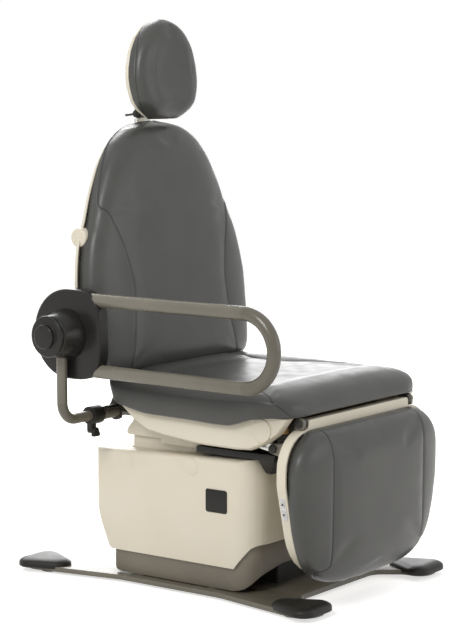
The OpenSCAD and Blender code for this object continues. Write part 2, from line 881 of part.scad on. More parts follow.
// Side profile of the neck, drawn in by inset, with its skirt down to low
module neck_profile(inset, low) {
    polygon([
        [inset - neck_front, low], [neck_rear - inset, low],
        [neck_rear - inset, max(low, neck_rear_low - inset)],
        [neck_taper_y - inset, neck_taper_z - inset], [neck_taper_y - inset, neck_top - inset],
        [neck_step_y + inset, neck_top - inset], [neck_step_y + inset, neck_roof_front - inset],
        [inset - neck_front, neck_roof_front - inset]]);
}

// Plan of the neck, drawn in by inset
module neck_plan(inset) {
    polygon(slab(neck_w - 2 * inset, inset - neck_front, neck_rear - inset, neck_r, neck_r));
}

module upper_shroud() {
    color("bisque") difference() {
        union() {
            difference() {
                intersection() {
                    translate([0, 0, neck_low]) linear_extrude(neck_top) neck_plan(0);
                    along_x(neck_w) neck_profile(0, neck_low);
                }
                intersection() {
                    linear_extrude(neck_top) neck_plan(cover_wall);
                    along_x(neck_w) neck_profile(cover_wall, 0);
                }
                translate([-neck_w / 2, neck_step_y, 0]) cube([neck_w, neck_rear, neck_rear_low]);
            }
            intersection() {
                translate([0, 0, skirt_low]) linear_extrude(neck_top) difference() {
                    neck_plan(skirt_inset);
                    neck_plan(skirt_inset + stage_wall);
                }
                along_x(neck_w) neck_profile(cover_wall / 2, 0);
            }
        }
        linear_extrude(neck_top + over) stage_tube(0, -run_gap);
    }
}

module underseat_pan() {
    color("black") {
        intersection() {
            along_x(pan_w) polygon(rounded([
                [-pan_rear, pan_z], [-pan_lip_y, pan_z],
                [-pan_lip_y, pan_low], [-pan_lip_y - pan_bevel, pan_low],
                [-pan_front, pan_z, pan_r], [-pan_front, pan_top], [-pan_rear, pan_top]]));
            along_y(2 * pan_front) polygon(rounded(both([
                [pan_low_w / 2, pan_low, pan_r], [pan_w / 2, pan_z], [pan_w / 2, pan_top]])));
        }
        both_sides() translate([hanger_x - hanger_t / 2, -hanger_front, pan_top])
            cube([hanger_t, hanger_front - hanger_rear, seat_plate_z - pan_top]);
    }
}

// Plate under the seat, slotted at the back for the crank and its rod
module slotted_plate(w, front, rear, t) {
    linear_extrude(t) difference() {
        polygon(slab(w, -front, rear, plate_r, plate_r));
        translate([-actuator_slot_w / 2, -actuator_slot_front]) square([actuator_slot_w, front + rear]);
    }
}

module seat_plate() {
    color("dimgray") translate([0, 0, seat_plate_z])
        slotted_plate(seat_plate_w, seat_plate_front, seat_plate_rear, seat_plate_t);
}

module seat_board() {
    color("tan") translate([0, 0, seat_plate_z + seat_plate_t])
        slotted_plate(seat_board_w, seat_plate_front, seat_board_rear, seat_board_t);
}

// Outline of a side cover in Y and Z, its lower edge raised by up and its upper edge lowered by down,
// with trim rows left out at each end
function cover_ring(x, up, down, trim) = concat(
    [for (i = [trim:len(cover_shares) - 1 - trim]) let (s = cover_shares[i])
        [x, seat_rear - s[0] * seat_l, seat_base - s[1] * cover_drop + up * s[2]]],
    [for (i = [cover_rows[0] - trim:-1:cover_rows[1] + trim]) let (s = seat_shares[i])
        [x, seat_rear - s[0] * seat_l, seat_base + s[2] * (seat_top - seat_base) - down]]);

module cover_cap_place() {
    translate([side_cover_w / 2, -cover_cap_y, cover_cap_z]) children();
}

module seat_side_covers() {
    x0 = side_cover_w / 2 - cover_lip;
    color("bisque") both_sides() {
        difference() {
            loft([for (s = cover_edge_shares) cover_ring(x0 + s[0] * cover_lip, s[1] * cover_round, 0, 0)]);
            loft([for (x = [x0 - over, side_cover_w / 2 - cover_wall])
                cover_ring(x, 2 * cover_wall, cover_wall, 1)]);
            cover_cap_place() bar_x(cap_d + 2 * run_gap, -cover_cap_seat, over);
        }
        for (y = cover_rib_y) translate([seat_plate_w / 2, y, seat_plate_z + seat_plate_t - cover_rib_h])
            cube([side_cover_w / 2 - cover_wall / 2 - seat_plate_w / 2, cover_rib_t, cover_rib_h]);
    }
}

module seat_cover_caps() {
    color("bisque") both_sides() cover_cap_place() bar_x(cap_d, -cover_cap_seat, cover_cap_rise);
}

// Angle of a seam that lies at x on a padded section of half width w
seam_limit_share = 0.985;
function seam_angle(x, w) = acos(pow(min(x / w, seam_limit_share), 1 / pad_roundness));

seam_dip = 2.5;
seat_crown = 5;
module seat_cushion() {
    depth = seat_top - seat_base;
    low = seat_base + soft_gap;
    color("dimgray") {
        loft([for (i = [len(seat_shares) - 1:-1:0])
            let (s = seat_shares[i], w = seat_w / 2 * s[1], rise = seat_crown * s[3])
            [for (p = pad_section(w, (s[3] - s[2]) * depth - soft_gap - rise, rise,
                    seam_angle(s[4] * seat_w / 2, w), seam_dip))
                [p[0], seat_rear - s[0] * seat_l, low + s[2] * depth + p[1]]]]);
        translate([-seat_board_w / 2, -seat_plate_front + plate_r, seat_top_z + soft_gap])
            cube([seat_board_w, seat_plate_front - plate_r + seat_board_rear, depth / 2]);
    }
}

module front_brackets() {
    under = seat_plate_z;
    top = seat_plate_z + seat_plate_t - side_gap / 2;
    axis = [-legrest_axis_y, legrest_axis_z];
    low = legrest_axis_z - leg_eye_r;
    color("black") both_sides() {
        difference() {
            plate_x(front_bracket_x, front_bracket_x + bracket_t) {
                translate(axis) circle(r = leg_eye_r);
                polygon([
                    [front_flange_y[1], under - bracket_t], [front_flange_y[1], top],
                    [-seat_plate_front - side_gap, top], [-seat_plate_front - side_gap, low],
                    [-front_neck_y, legrest_axis_z + leg_eye_r], [axis[0], legrest_axis_z + leg_eye_r],
                    [axis[0], low], [-front_neck_y, low], [-front_neck_y, low - leg_eye_r],
                    [-front_toe_y, under - bracket_t]]);
            }
            translate([0, axis[0], axis[1]])
                bar_x(leg_pin_d, front_bracket_x - over, front_bracket_x + bracket_t + over);
        }
        translate([front_bracket_x - front_flange_w, front_flange_y[0], under - bracket_t])
            cube([front_flange_w, front_flange_y[1] - front_flange_y[0], bracket_t]);
    }
}

module rear_brackets() {
    clear_y = seat_plate_rear + soft_gap;
    foot_z = seat_plate_z + seat_plate_t;
    ring = socket_d / 2 + socket_wall + receiver_ring;
    color("black") both_sides() difference() {
        plate_x(rear_bracket_x, rear_bracket_x + bracket_t) difference() {
            union() {
                translate([back_axis_y, back_axis_z]) circle(r = back_eye_r);
                translate([arm_post_y, arm_socket_z]) circle(r = ring);
                polygon([
                    [rear_bracket_front, foot_z], [rear_eye_front, back_axis_z],
                    [back_axis_y + back_eye_r, back_axis_z], [arm_post_y + ring, arm_socket_z],
                    [clear_y, foot_z]]);
            }
            square([clear_y, foot_z]);
        }
        translate([0, arm_post_y, arm_socket_z]) bar_x(socket_d + 2 * socket_wall, 0, seat_w);
        translate([0, back_axis_y, back_axis_z]) bar_x(back_pin_d, 0, seat_w);
    }
}

module hinge_pins() {
    leg_end = lug_x + lug_t + side_gap;
    back_end = rear_bracket_x + bracket_t;
    color("silver") both_sides() {
        translate([0, -legrest_axis_y, legrest_axis_z]) {
            bar_x(leg_pin_d, front_bracket_x, leg_end);
            bar_x(bolt_head_d, leg_end, leg_end + bolt_head_t);
        }
        translate([0, back_axis_y, back_axis_z]) {
            bar_x(back_pin_d, back_end - back_pin_l, back_end);
            bar_x(bolt_head_d, back_end, back_end + bolt_head_t);
        }
    }
}

module arm_receiver() {
    color("dimgray") both_sides() difference() {
        union() {
            translate([0, arm_post_y, arm_socket_z])
                bar_x(socket_d + 2 * socket_wall, socket_inner_x, socket_outer_x);
            translate([socket_tab_x - socket_tab_w / 2, arm_post_y - socket_tab_l, seat_plate_z + seat_plate_t])
                cube([socket_tab_w, socket_tab_l, socket_tab_t]);
        }
        translate([0, arm_post_y, arm_socket_z]) bar_x(socket_d, 0, seat_w);
    }
}

module receiver_latch() {
    reach = (socket_d / 2 + socket_wall + latch_d / 2 + side_gap) * sqrt(1 / 2);
    color("black") translate([-socket_outer_x, arm_post_y - reach, arm_socket_z + reach]) {
        bar_x(latch_d, 0, latch_l);
        for (x = [latch_clip_l, latch_l - 2 * latch_clip_l])
            bar_x(latch_d + 2 * side_gap, x, x + latch_clip_l);
    }
}

module back_actuator() {
    color("black") {
        translate([0, back_pivot_y, back_pivot_z]) rotate([rod_slope - 90, 0, 0]) difference() {
            cylinder(d = back_tube_d, h = back_tube_l);
            translate([0, 0, back_tube_d / 2]) cylinder(d = back_rod_d + 2 * run_gap, h = back_tube_l);
        }
        translate([-clamp_w / 2, -actuator_slot_front - clamp_l, back_pivot_z - back_tube_d / 2])
            cube([clamp_w, clamp_l, seat_plate_z - back_pivot_z + back_tube_d / 2]);
        translate([0, -actuator_slot_front - clamp_l / 2, back_pivot_z]) rotate([-90, 0, 0])
            cylinder(d = back_rod_d, h = clamp_l + actuator_slot_front + back_pivot_y);
    }
}

module back_rod() {
    fork_w = crank_t + 2 * crank_gap + 2 * fork_t;
    color("silver") translate([0, back_pivot_y, back_pivot_z]) rotate([rod_slope - 90, 0, 0]) {
        translate([0, 0, back_rod_in]) cylinder(d = back_rod_d, h = rod_l - fork_l - back_rod_in);
        difference() {
            union() {
                translate([0, 0, rod_l]) bar_x(2 * crank_r, -fork_w / 2, fork_w / 2);
                translate([-fork_w / 2, -crank_r, rod_l - fork_l - fork_t])
                    cube([fork_w, 2 * crank_r, fork_l + fork_t]);
            }
            translate([-crank_t / 2 - crank_gap, -2 * crank_r, rod_l - fork_l])
                cube([crank_t + 2 * crank_gap, 4 * crank_r, 2 * fork_l]);
            translate([0, 0, rod_l]) bar_x(crank_pin_d, -fork_w, fork_w);
        }
    }
}

module legrest_actuator() {
    color("black") translate([leg_tube_x, 0, leg_tube_z]) {
        translate([0, -leg_tube_front, 0]) rotate([-90, 0, 0]) difference() {
            cylinder(d = leg_tube_d, h = leg_tube_front + leg_tube_rear);
            translate([0, 0, -over])
                cylinder(d = leg_rod_d + 2 * run_gap, h = leg_tube_front + leg_tube_rear - clamp_l);
        }
        for (y = [clamp_l - leg_tube_front, leg_tube_rear - clamp_l]) difference() {
            translate([-clamp_w / 2, y, 0]) cube([clamp_w, clamp_l, seat_plate_z - leg_tube_z]);
            translate([0, y - over, 0]) rotate([-90, 0, 0])
                cylinder(d = leg_tube_d - side_gap, h = clamp_l + 2 * over);
        }
    }
}

module legrest_rod() {
    color("silver") translate([0, -yoke_y, leg_tube_z]) {
        bar_x(leg_rod_d, -yoke_w / 2, yoke_w / 2);
        translate([leg_tube_x, 0, 0]) rotate([-90, 0, 0]) cylinder(d = leg_rod_d, h = yoke_y + leg_rod_rear);
    }
}

// Outline of the leg rest frame in X and Z, drawn in by inset
function legrest_outline(inset) = both([
    [legrest_band_w / 2 - inset, legrest_band_top - inset, legrest_band_r],
    [legrest_band_w / 2 - inset, legrest_shoulder - inset],
    [legrest_w / 2 - inset, legrest_shoulder - inset, legrest_shoulder_r - inset],
    [legrest_w / 2 - inset, legrest_side_z, legrest_side_r - inset],
    [legrest_foot_w / 2 - inset, legrest_low + inset, legrest_foot_r - inset]]);

module legrest_frame() {
    color("bisque") translate([0, -legrest_rear, 0]) difference() {
        translate([0, -legrest_frame_t / 2, 0]) along_y(legrest_frame_t) polygon(rounded(legrest_outline(0)));
        translate([0, -legrest_panel_t - legrest_frame_t, 0]) along_y(2 * legrest_frame_t)
            intersection() {
                polygon(rounded(legrest_outline(legrest_rim)));
                translate([-legrest_w / 2, 0]) square([legrest_w, legrest_pad_top - legrest_rim]);
            }
    }
}

module legrest_cushion() {
    h = legrest_pad_top - legrest_pad_low;
    color("dimgray") loft([for (s = legrest_shares) let (w = legrest_pad_w / 2 * s[1])
        [for (p = pad_section(w, legrest_t * s[2] - soft_gap, legrest_pad_crown * s[2],
                seam_angle(s[3] * legrest_pad_w / 2, w), seam_dip * s[2]))
            [p[0], -legrest_front - soft_gap - p[1], legrest_pad_low + s[0] * h]]]);
}

module legrest_lugs() {
    axis = [-legrest_axis_y, legrest_axis_z];
    color("dimgray") both_sides() {
        difference() {
            plate_x(lug_x, lug_x + lug_t) {
                translate(axis) circle(r = leg_eye_r);
                polygon([[-legrest_front, legrest_shoulder], [-legrest_rear, legrest_shoulder],
                    [leg_eye_r + axis[0], axis[1]], [axis[0] - leg_eye_r, axis[1]]]);
            }
            translate([0, axis[0], axis[1]]) bar_x(leg_pin_d + 2 * run_gap, 0, seat_w);
        }
        difference() {
            plate_x(link_lug_x, link_lug_x + link_lug_t) {
                translate([-link_y, link_z]) circle(r = link_lug_r);
                polygon([
                    [-legrest_rear, lug_arm_low], [-link_y, link_z - link_lug_r],
                    [-link_y, link_z + link_lug_r], [-legrest_rear, lug_arm_top]]);
            }
            translate([0, -link_y, link_z]) bar_x(link_bolt_d, 0, seat_w);
        }
    }
}

module link_bolts() {
    end = link_lug_x + link_lug_t;
    color("silver") both_sides() translate([0, -link_y, link_z]) {
        bar_x(link_bolt_d, link_x, end);
        bar_x(bolt_head_d, end, end + bolt_head_t);
    }
}

module legrest_link() {
    ends = [[-link_y, link_z], [link_reach - link_y, leg_tube_z]];
    color("silver") both_sides() difference() {
        plate_x(link_x, link_x + link_t) strap(ends[0], ends[1], link_w);
        for (e = ends) translate([0, e[0], e[1]]) bar_x(link_bolt_d + 2 * run_gap, 0, seat_w);
    }
}

// Place of the switch on the -X edge of the leg rest frame, with +Z out of the edge
switch_edge = atan2((legrest_w - legrest_foot_w) / 2, legrest_side_z - legrest_low);
module switch_place() {
    slope_x = tan(switch_edge) * (legrest_side_z - switch_z);
    translate([slope_x - legrest_w / 2, -legrest_rear - legrest_frame_t / 2, switch_z])
        rotate([0, -90 - switch_edge, 0]) children();
}

// Upright rounded plate on the switch's face, from z0 to z1 out of it
module switch_block(h, w, r, z0, z1) {
    translate([0, 0, z0]) linear_extrude(z1 - z0) polygon(rounded([
        [h / 2, w / 2, r], [-h / 2, w / 2, r], [-h / 2, -w / 2, r], [h / 2, -w / 2, r]]));
}

module switch_bezel() {
    color("lightgray") switch_place() difference() {
        switch_block(switch_h, switch_w, switch_r, 0, switch_t);
        for (s = [-1, 1]) translate([s * button_pitch / 2, 0, 0])
            switch_block(
                button_h + 2 * soft_gap, button_w + 2 * soft_gap, button_w / 4, -over, switch_t + over);
    }
}

// One button; side is 1 for the upper one
module button(side) {
    switch_place() translate([side * button_pitch / 2, 0, 0])
        switch_block(button_h, button_w, button_w / 4, button_proud + soft_gap, switch_t + button_proud);
}

module up_button() {
    color("gray") button(1);
}

module down_button() {
    color("gray") button(-1);
}

// Frame of the back: origin on its hinge, Z up the back, Y to the rear
module back_place() {
    translate([0, back_axis_y, back_axis_z]) rotate([-recline, 0, 0]) children();
}

// Rings of a pad up the back, from low to high, standing out of the back plane along -Y
function back_rings(grow, depth, crown, dip, low, high) = [for (s = back_shares)
    let (w = back_w / 2 * s[1] + grow, t = depth * s[2])
    [for (p = pad_section(w, t, crown * s[2], seam_angle(s[3] * back_w / 2, w), dip * s[2]))
        [p[0], -p[1], low + s[0] * (high - low)]]];

module cap_notch(gap) {
    both_sides() translate([0, back_cap_y, back_cap_z])
        bar_x(back_cap_d + 2 * gap, back_cap_x - back_cap_t - gap, back_w);
}

module back_shell() {
    low = shell_low;
    high = back_h + shell_grow;
    color("bisque") back_place() difference() {
        translate([0, back_plane, 0]) mirror([0, 1, 0])
            loft(back_rings(shell_grow, back_shell_t, 0, 0, low, high));
        translate([0, back_plane - over, 0]) mirror([0, 1, 0])
            loft(back_rings(shell_grow - shell_wall, back_shell_t - shell_wall + over, 0, 0,
                low + shell_wall, high - shell_wall));
        cap_notch(run_gap);
        translate([-bar_w / 2 - soft_gap, bar_y - bar_t / 2 - side_gap, guide_top])
            cube([bar_w + 2 * soft_gap, bar_t + 2 * side_gap, high]);
        translate([-frame_w / 2 - soft_gap, back_plane - over, low - over])
            cube([frame_w + 2 * soft_gap, bar_y - bar_t / 2 - back_plane + 2 * over,
                shell_grow + 2 * over + shell_wall]);
    }
}

module back_cushion() {
    color("dimgray") back_place() difference() {
        translate([0, back_plane, 0]) loft(back_rings(0, back_t, back_crown, seam_dip, back_low, back_h));
        cap_notch(soft_gap);
    }
}

module back_frame() {
    y0 = back_plane + soft_gap;
    y1 = bar_y - bar_t / 2 - run_gap;
    plate = y1 - y0;
    color("dimgray") {
        back_place() {
            translate([-frame_w / 2, y0, 0]) cube([frame_w, plate, frame_top]);
            translate([-guide_w / 2, y0, 0]) cube([guide_w, plate, guide_top]);
            difference() {
                translate([-bar_w / 2 - guide_wall, y1, guide_low])
                    cube([bar_w + 2 * guide_wall, bar_t + 2 * run_gap + guide_wall, guide_top - guide_low]);
                translate([-bar_w / 2 - run_gap, y1 - over, guide_low - over])
                    cube([bar_w + 2 * run_gap, bar_t + 2 * run_gap + over, guide_top - guide_low + 2 * over]);
            }
            both_sides() difference() {
                plate_x(arm_plate_x, arm_plate_x + arm_plate_t)
                    polygon([[0, -torsion_d / 2], [y1, 0], [y1, arm_plate_h], [y0, arm_plate_h],
                        [y0, back_low - side_gap], [0, torsion_d / 2]]);
                bar_x(torsion_d, 0, torsion_w);
            }
        }
        translate([0, back_axis_y, back_axis_z]) difference() {
            union() {
                bar_x(torsion_d, -torsion_w / 2, torsion_w / 2);
                plate_x(-crank_t / 2, crank_t / 2) strap([0, 0], [crank_y, crank_z], 2 * crank_r);
            }
            both_sides() bar_x(back_pin_d + 2 * run_gap, torsion_w / 2 - back_pin_l, torsion_w);
            translate([0, crank_y, crank_z]) bar_x(crank_pin_d, -crank_t, crank_t);
        }
    }
}

module back_caps() {
    color("bisque") back_place() both_sides() translate([0, back_cap_y, back_cap_z])
        bar_x(back_cap_d, back_cap_x - back_cap_t, back_cap_x);
}

module headrest_bar() {
    color("silver") back_place() difference() {
        union() {
            translate([-bar_w / 2, bar_y - bar_t / 2, bar_low])
                cube([bar_w, bar_t, bar_top - bar_low - knuckle_w / 2 - side_gap]);
            translate([0, bar_y, bar_top]) bar_x(knuckle_w, -eye_w / 2, eye_w / 2);
            translate([-eye_w / 2, bar_y - bar_t / 2, bar_top - knuckle_w]) cube([eye_w, bar_t, knuckle_w]);
        }
        translate([0, bar_y, bar_top]) bar_x(knuckle_pin_d + 2 * run_gap, -bar_w, bar_w);
    }
}

module headrest_knuckle() {
    a = [bar_y, bar_top];
    b = [head_axis_y, head_axis_z];
    inner = eye_w / 2 + soft_gap;
    outer = inner + knuckle_t;
    color("black") back_place() {
        both_sides() plate_x(inner, outer) strap(a, b, knuckle_w);
        for (e = [a, b]) translate([0, e[0], e[1]])
            bar_x(knuckle_pin_d,
                e == a ? -outer - lever_hub_t - 2 * soft_gap : -outer, outer + knuckle_pin_end);
        translate([-outer - lever_hub_t - 2 * soft_gap - knuckle_pin_end, bar_y, bar_top])
            bar_x(knuckle_pin_d + knuckle_pin_end, 0, knuckle_pin_end);
    }
}

module headrest_lever() {
    x = -eye_w / 2 - 2 * soft_gap - knuckle_t - lever_hub_t;
    color("black") back_place() translate([0, bar_y, bar_top]) difference() {
        union() {
            bar_x(lever_hub_d, x, x + lever_hub_t);
            translate([x + lever_hub_t / 2, 0, 0]) rotate([-90, 0, 0]) cylinder(d = lever_d, h = lever_l);
        }
        bar_x(knuckle_pin_d + 2 * run_gap, x - over, x + lever_hub_t + over);
    }
}

// Frame of the headrest: origin on its own hinge
module head_place() {
    back_place() translate([0, head_axis_y, head_axis_z]) rotate([recline - head_lean, 0, 0]) children();
}

// Rings of the headrest, grown by grow, standing out along -Y
function head_rings(grow, depth, crown) = [for (s = head_shares)
    let (w = head_w / 2 * s[1] + grow, t = depth * s[2])
    [for (p = pad_section(w, t, crown * s[2], seam_angle(w, w), 0)) [p[0], -p[1], s[0] * head_h - head_low]]];

module headrest_shell() {
    color("bisque") head_place() difference() {
        union() {
            translate([0, -head_plane, 0]) mirror([0, 1, 0]) loft(head_rings(-soft_gap, head_shell_t, 0));
            bar_x(knuckle_w, -eye_w / 2, eye_w / 2);
            translate([-eye_w / 2, -head_plane + head_shell_t / 2, -knuckle_w / 2])
                cube([eye_w, head_plane - head_shell_t / 2, knuckle_w]);
        }
        bar_x(knuckle_pin_d + 2 * run_gap, -head_w, head_w);
    }
}

module headrest_cushion() {
    color("dimgray") head_place() translate([0, -head_plane - soft_gap, 0])
        loft(head_rings(0, head_t, head_dish));
}

// Arm socket axis, along X
module socket_place() {
    translate([0, arm_post_y, arm_socket_z]) children();
}

module arm_collar() {
    x = -socket_outer_x - collar_l;
    color("black") socket_place() difference() {
        union() {
            bar_x(collar_d, x, x + collar_l);
            translate([x + lever_in, 0, -lever_axis_drop]) rotate([90, 0, 0])
                cylinder(d = lever_boss_d, h = lever_boss_d, center = true);
            translate([x + lever_in - lever_boss_d / 2, -lever_boss_d / 2, -lever_axis_drop])
                cube([lever_boss_d, lever_boss_d, lever_axis_drop]);
            translate([x + lever_in, -lever_boss_d / 2, -lever_axis_drop]) rotate([90, 0, 0])
                cylinder(d = lever_screw_d, h = lever_wing_t + soft_gap);
        }
        bar_x(socket_d, -seat_w, 0);
    }
}

module collar_lever() {
    color("black") socket_place() translate([lever_in - socket_outer_x - collar_l, 0, -lever_axis_drop])
        rotate([90, 0, 0]) translate([0, 0, lever_boss_d / 2 + soft_gap]) linear_extrude(lever_wing_t)
        difference() {
            union() {
                circle(d = lever_boss_d);
                polygon(rounded([[-lever_boss_d / 2, 0], [-lever_wing_w / 2, -lever_wing_l, lever_wing_t / 2],
                    [lever_wing_w / 2, -lever_wing_l, lever_wing_t / 2], [lever_boss_d / 2, 0]]));
            }
            circle(d = lever_screw_d + 2 * run_gap);
        }
}

// Post: a stub along X in the socket, a bend and an upright, all of diameter d; cut lengthens it
module post_solid(d, cut) {
    translate([-arm_post_x, arm_post_y, arm_socket_z]) {
        translate([post_bend_r, 0, 0]) bar_x(d, 0, arm_post_x - post_bend_r - stub_end_x + cut);
        translate([post_bend_r, 0, post_bend_r]) rotate([90, 180, 0]) rotate_extrude(angle = 90)
            translate([post_bend_r, 0]) circle(d = d);
        translate([0, 0, post_bend_r]) cylinder(d = d, h = hub_rise - post_bend_r - post_seat + cut);
    }
}

module arm_post() {
    color("dimgray") difference() {
        post_solid(post_d, 0);
        post_solid(post_d - 2 * post_wall, over);
    }
}

// Frame of the hub: origin on the hub axis over the post, +X towards the sitter
module hub_place() {
    translate([-arm_post_x, arm_post_y, arm_socket_z + hub_rise]) rotate([0, 0, -arm_splay]) children();
}

// Turned piece about the hub axis; each point is [radius, x, corner radius]
module turned(points) {
    rotate([0, 90, 0]) rotate_extrude() polygon(rounded(points));
}

housing_end = pod_face - soft_gap - housing_l;
module hub_housing() {
    color("black") difference() {
        hub_place() difference() {
            turned([[0, housing_end], [housing_end_d / 2, housing_end, pod_edge_r],
                [housing_d / 2, pod_face - soft_gap, 0], [0, pod_face - soft_gap]]);
            bar_x(hub_bolt_d, -hub_d, hub_d);
        }
        post_solid(post_d, 0);
    }
}

knob_low = housing_end - soft_gap - knob_t;
module hub_bolt() {
    color("silver") hub_place() bar_x(hub_bolt_d, knob_low - knob_cap_t / 2, pod_face + pod_t);
}

module hub_knob() {
    color("black") hub_place() difference() {
        turned([[0, knob_low - knob_cap_t], [knob_cap_d / 2, knob_low - knob_cap_t, knob_edge_r],
            [knob_cap_d / 2, knob_low], [knob_d / 2, knob_low, knob_edge_r],
            [knob_d / 2, knob_low + knob_t, knob_edge_r], [0, knob_low + knob_t]]);
        bar_x(hub_bolt_d + 2 * run_gap, knob_low - knob_cap_t / 2 - run_gap, 0);
    }
}

// The loop's tube of diameter d: two runs ahead of the hub, joined by half a ring
module loop_solid(d, cut) {
    r = arm_loop_h / 2;
    run = arm_reach - tube_seat;
    hub_place() translate([pod_face + tube_inset, -tube_seat, 0]) {
        for (s = [-1, 1]) translate([0, cut, s * r]) rotate([90, 0, 0]) cylinder(d = d, h = run + cut);
        translate([0, -run, 0]) rotate([0, 90, 0]) rotate([0, 0, 180]) rotate_extrude(angle = 180)
            translate([r, 0]) circle(d = d);
    }
}

module hub_pod() {
    color("black") difference() {
        hub_place() difference() {
            turned([[0, pod_face], [hub_d / 2, pod_face, pod_edge_r], [hub_d / 2, pod_face + pod_t, pod_edge_r],
                [pod_back_d / 2, pod_face + pod_t], [pod_back_d / 2, pod_face + pod_t + pod_back_t, pod_edge_r],
                [0, pod_face + pod_t + pod_back_t]]);
            bar_x(hub_bolt_d + 2 * run_gap, 0, pod_face + pod_t + run_gap);
        }
        loop_solid(arm_tube_d, 0);
    }
}

module arm_loop() {
    color("dimgray") difference() {
        loop_solid(arm_tube_d, 0);
        loop_solid(arm_tube_d - 2 * tube_wall, over);
    }
}

base_plate();
corner_pads();
levelling_glides();
plinth_cover();
base_shroud();
shroud_caps();
badge_plate();
column_lower();
column_bolts();
lift_motor();
control_box();
power_inlet();
column_middle();
middle_shroud();
column_upper();
upper_shroud();
underseat_pan();
seat_plate();
seat_side_covers();
seat_cover_caps();
seat_board();
seat_cushion();
front_brackets();
rear_brackets();
hinge_pins();
arm_receiver();
receiver_latch();
back_actuator();
legrest_actuator();
legrest_frame();
legrest_cushion();
legrest_lugs();
link_bolts();
switch_bezel();
up_button();
down_button();
legrest_link();
legrest_rod();
back_rod();
back_shell();
back_cushion();
back_frame();
back_caps();
headrest_bar();
headrest_knuckle();
headrest_lever();
headrest_shell();
headrest_cushion();
arm_collar();
collar_lever();
arm_post();
hub_housing();
hub_bolt();
hub_knob();
hub_pod();
arm_loop();
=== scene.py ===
# %% [markdown]
# # A powered procedure chair, dressed in Blender
# The chair is a seat, a back and a leg rest of padded vinyl on moulded covers, over a lift column on a wide
# steel base plate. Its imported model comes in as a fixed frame, and this lesson lays the looks round it.
# Reading the frame first means that each piece is placed by real sizes and never by eye.

# %% Load the frame
import json
import math

import bmesh
import bpy
import numpy as np
from mathutils import Matrix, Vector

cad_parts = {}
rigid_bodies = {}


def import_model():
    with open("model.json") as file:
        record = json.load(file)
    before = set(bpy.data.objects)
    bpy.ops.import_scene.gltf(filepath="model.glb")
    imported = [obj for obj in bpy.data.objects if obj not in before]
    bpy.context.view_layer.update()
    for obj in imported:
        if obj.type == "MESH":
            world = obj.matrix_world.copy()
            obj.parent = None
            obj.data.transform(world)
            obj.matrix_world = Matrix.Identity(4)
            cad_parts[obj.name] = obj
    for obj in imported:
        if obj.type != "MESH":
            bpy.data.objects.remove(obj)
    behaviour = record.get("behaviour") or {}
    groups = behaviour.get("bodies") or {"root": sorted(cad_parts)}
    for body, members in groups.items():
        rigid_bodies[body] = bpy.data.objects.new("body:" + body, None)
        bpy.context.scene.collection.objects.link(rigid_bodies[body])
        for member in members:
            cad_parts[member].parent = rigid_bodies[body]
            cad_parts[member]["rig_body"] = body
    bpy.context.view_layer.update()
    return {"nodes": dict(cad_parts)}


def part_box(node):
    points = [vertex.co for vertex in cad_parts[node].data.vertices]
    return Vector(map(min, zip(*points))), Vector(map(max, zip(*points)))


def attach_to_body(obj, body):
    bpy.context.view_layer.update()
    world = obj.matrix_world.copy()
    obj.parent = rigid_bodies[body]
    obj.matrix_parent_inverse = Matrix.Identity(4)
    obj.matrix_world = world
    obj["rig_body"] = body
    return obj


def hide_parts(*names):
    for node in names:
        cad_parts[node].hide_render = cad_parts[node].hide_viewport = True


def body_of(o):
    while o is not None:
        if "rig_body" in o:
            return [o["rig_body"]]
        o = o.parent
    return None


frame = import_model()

MM = 0.001
nodes = frame["nodes"]
scene = bpy.context.scene

# %% [markdown]
# ## The camera
# The photograph was taken with a long lens from a little above the seat, well round to the sitter's right.
# A camera could be aimed by an empty that it tracks. Here its place and angles are written down, because
# they were worked out from known points of the chair, and a fixed camera gives the same picture every time.

# %% Place the camera
camera = bpy.data.objects.new("camera", bpy.data.cameras.new("camera"))
scene.collection.objects.link(camera)
camera.location = (-3.9908, -2.9519, 1.2125)
camera.rotation_euler = (math.radians(83.29), 0, math.radians(-53.6))
camera.data.lens = 114.75
camera.data.sensor_width = 36
camera.data.sensor_fit = "AUTO"
camera.data.dof.use_dof = False
scene.camera = camera
scene.view_settings.view_transform = "Standard"
print("camera lens", camera.data.lens)

# %% [markdown]
# ## Two small helpers for materials
# A material is a tree of nodes. Built by hand it takes many lines, so one function adds a node with its
# settings and its links. Colours are written as sRGB hex values, as a paint shop gives them, and turned to
# the linear values that the shaders work in.

# %% Colour and node helpers
def linear(code, alpha=1.0):
    """An sRGB hex value as linear red, green, blue and alpha."""
    parts = [int(code[i:i + 2], 16) / 255 for i in (1, 3, 5)]
    return [p / 12.92 if p <= 0.04045 else ((p + 0.055) / 1.055) ** 2.4 for p in parts] + [alpha]


def add(tree, kind, settings=None, **inputs):
    """Add one node. settings are its own properties; each input is a value or another node's socket, named
    by its label with _ for a space, or by its number after an n."""
    new = tree.nodes.new(kind)
    for key, value in (settings or {}).items():
        setattr(new, key, value)
    for key, value in inputs.items():
        numbered = key[0] == "n" and key[1:].isdigit()
        socket = new.inputs[int(key[1:])] if numbered else new.inputs[key.replace("_", " ")]
        if isinstance(value, bpy.types.NodeSocket):
            tree.links.new(value, socket)
        else:
            socket.default_value = value
    return new


def start_finish(name, surface="ShaderNodeBsdfPrincipled", **fixed):
    """A new material with one shader wired to its output. fixed values are set on the shader's sockets."""
    material = bpy.data.materials.new(name)
    material.use_nodes = True
    tree = material.node_tree
    tree.nodes.clear()
    shader = add(tree, surface, **fixed)
    tree.links.new(shader.outputs[0], add(tree, "ShaderNodeOutputMaterial").inputs["Surface"])
    return material, tree, shader


# Nearly all the values of a noise node lie between these two
NOISE_LOW, NOISE_HIGH = 0.3, 0.7


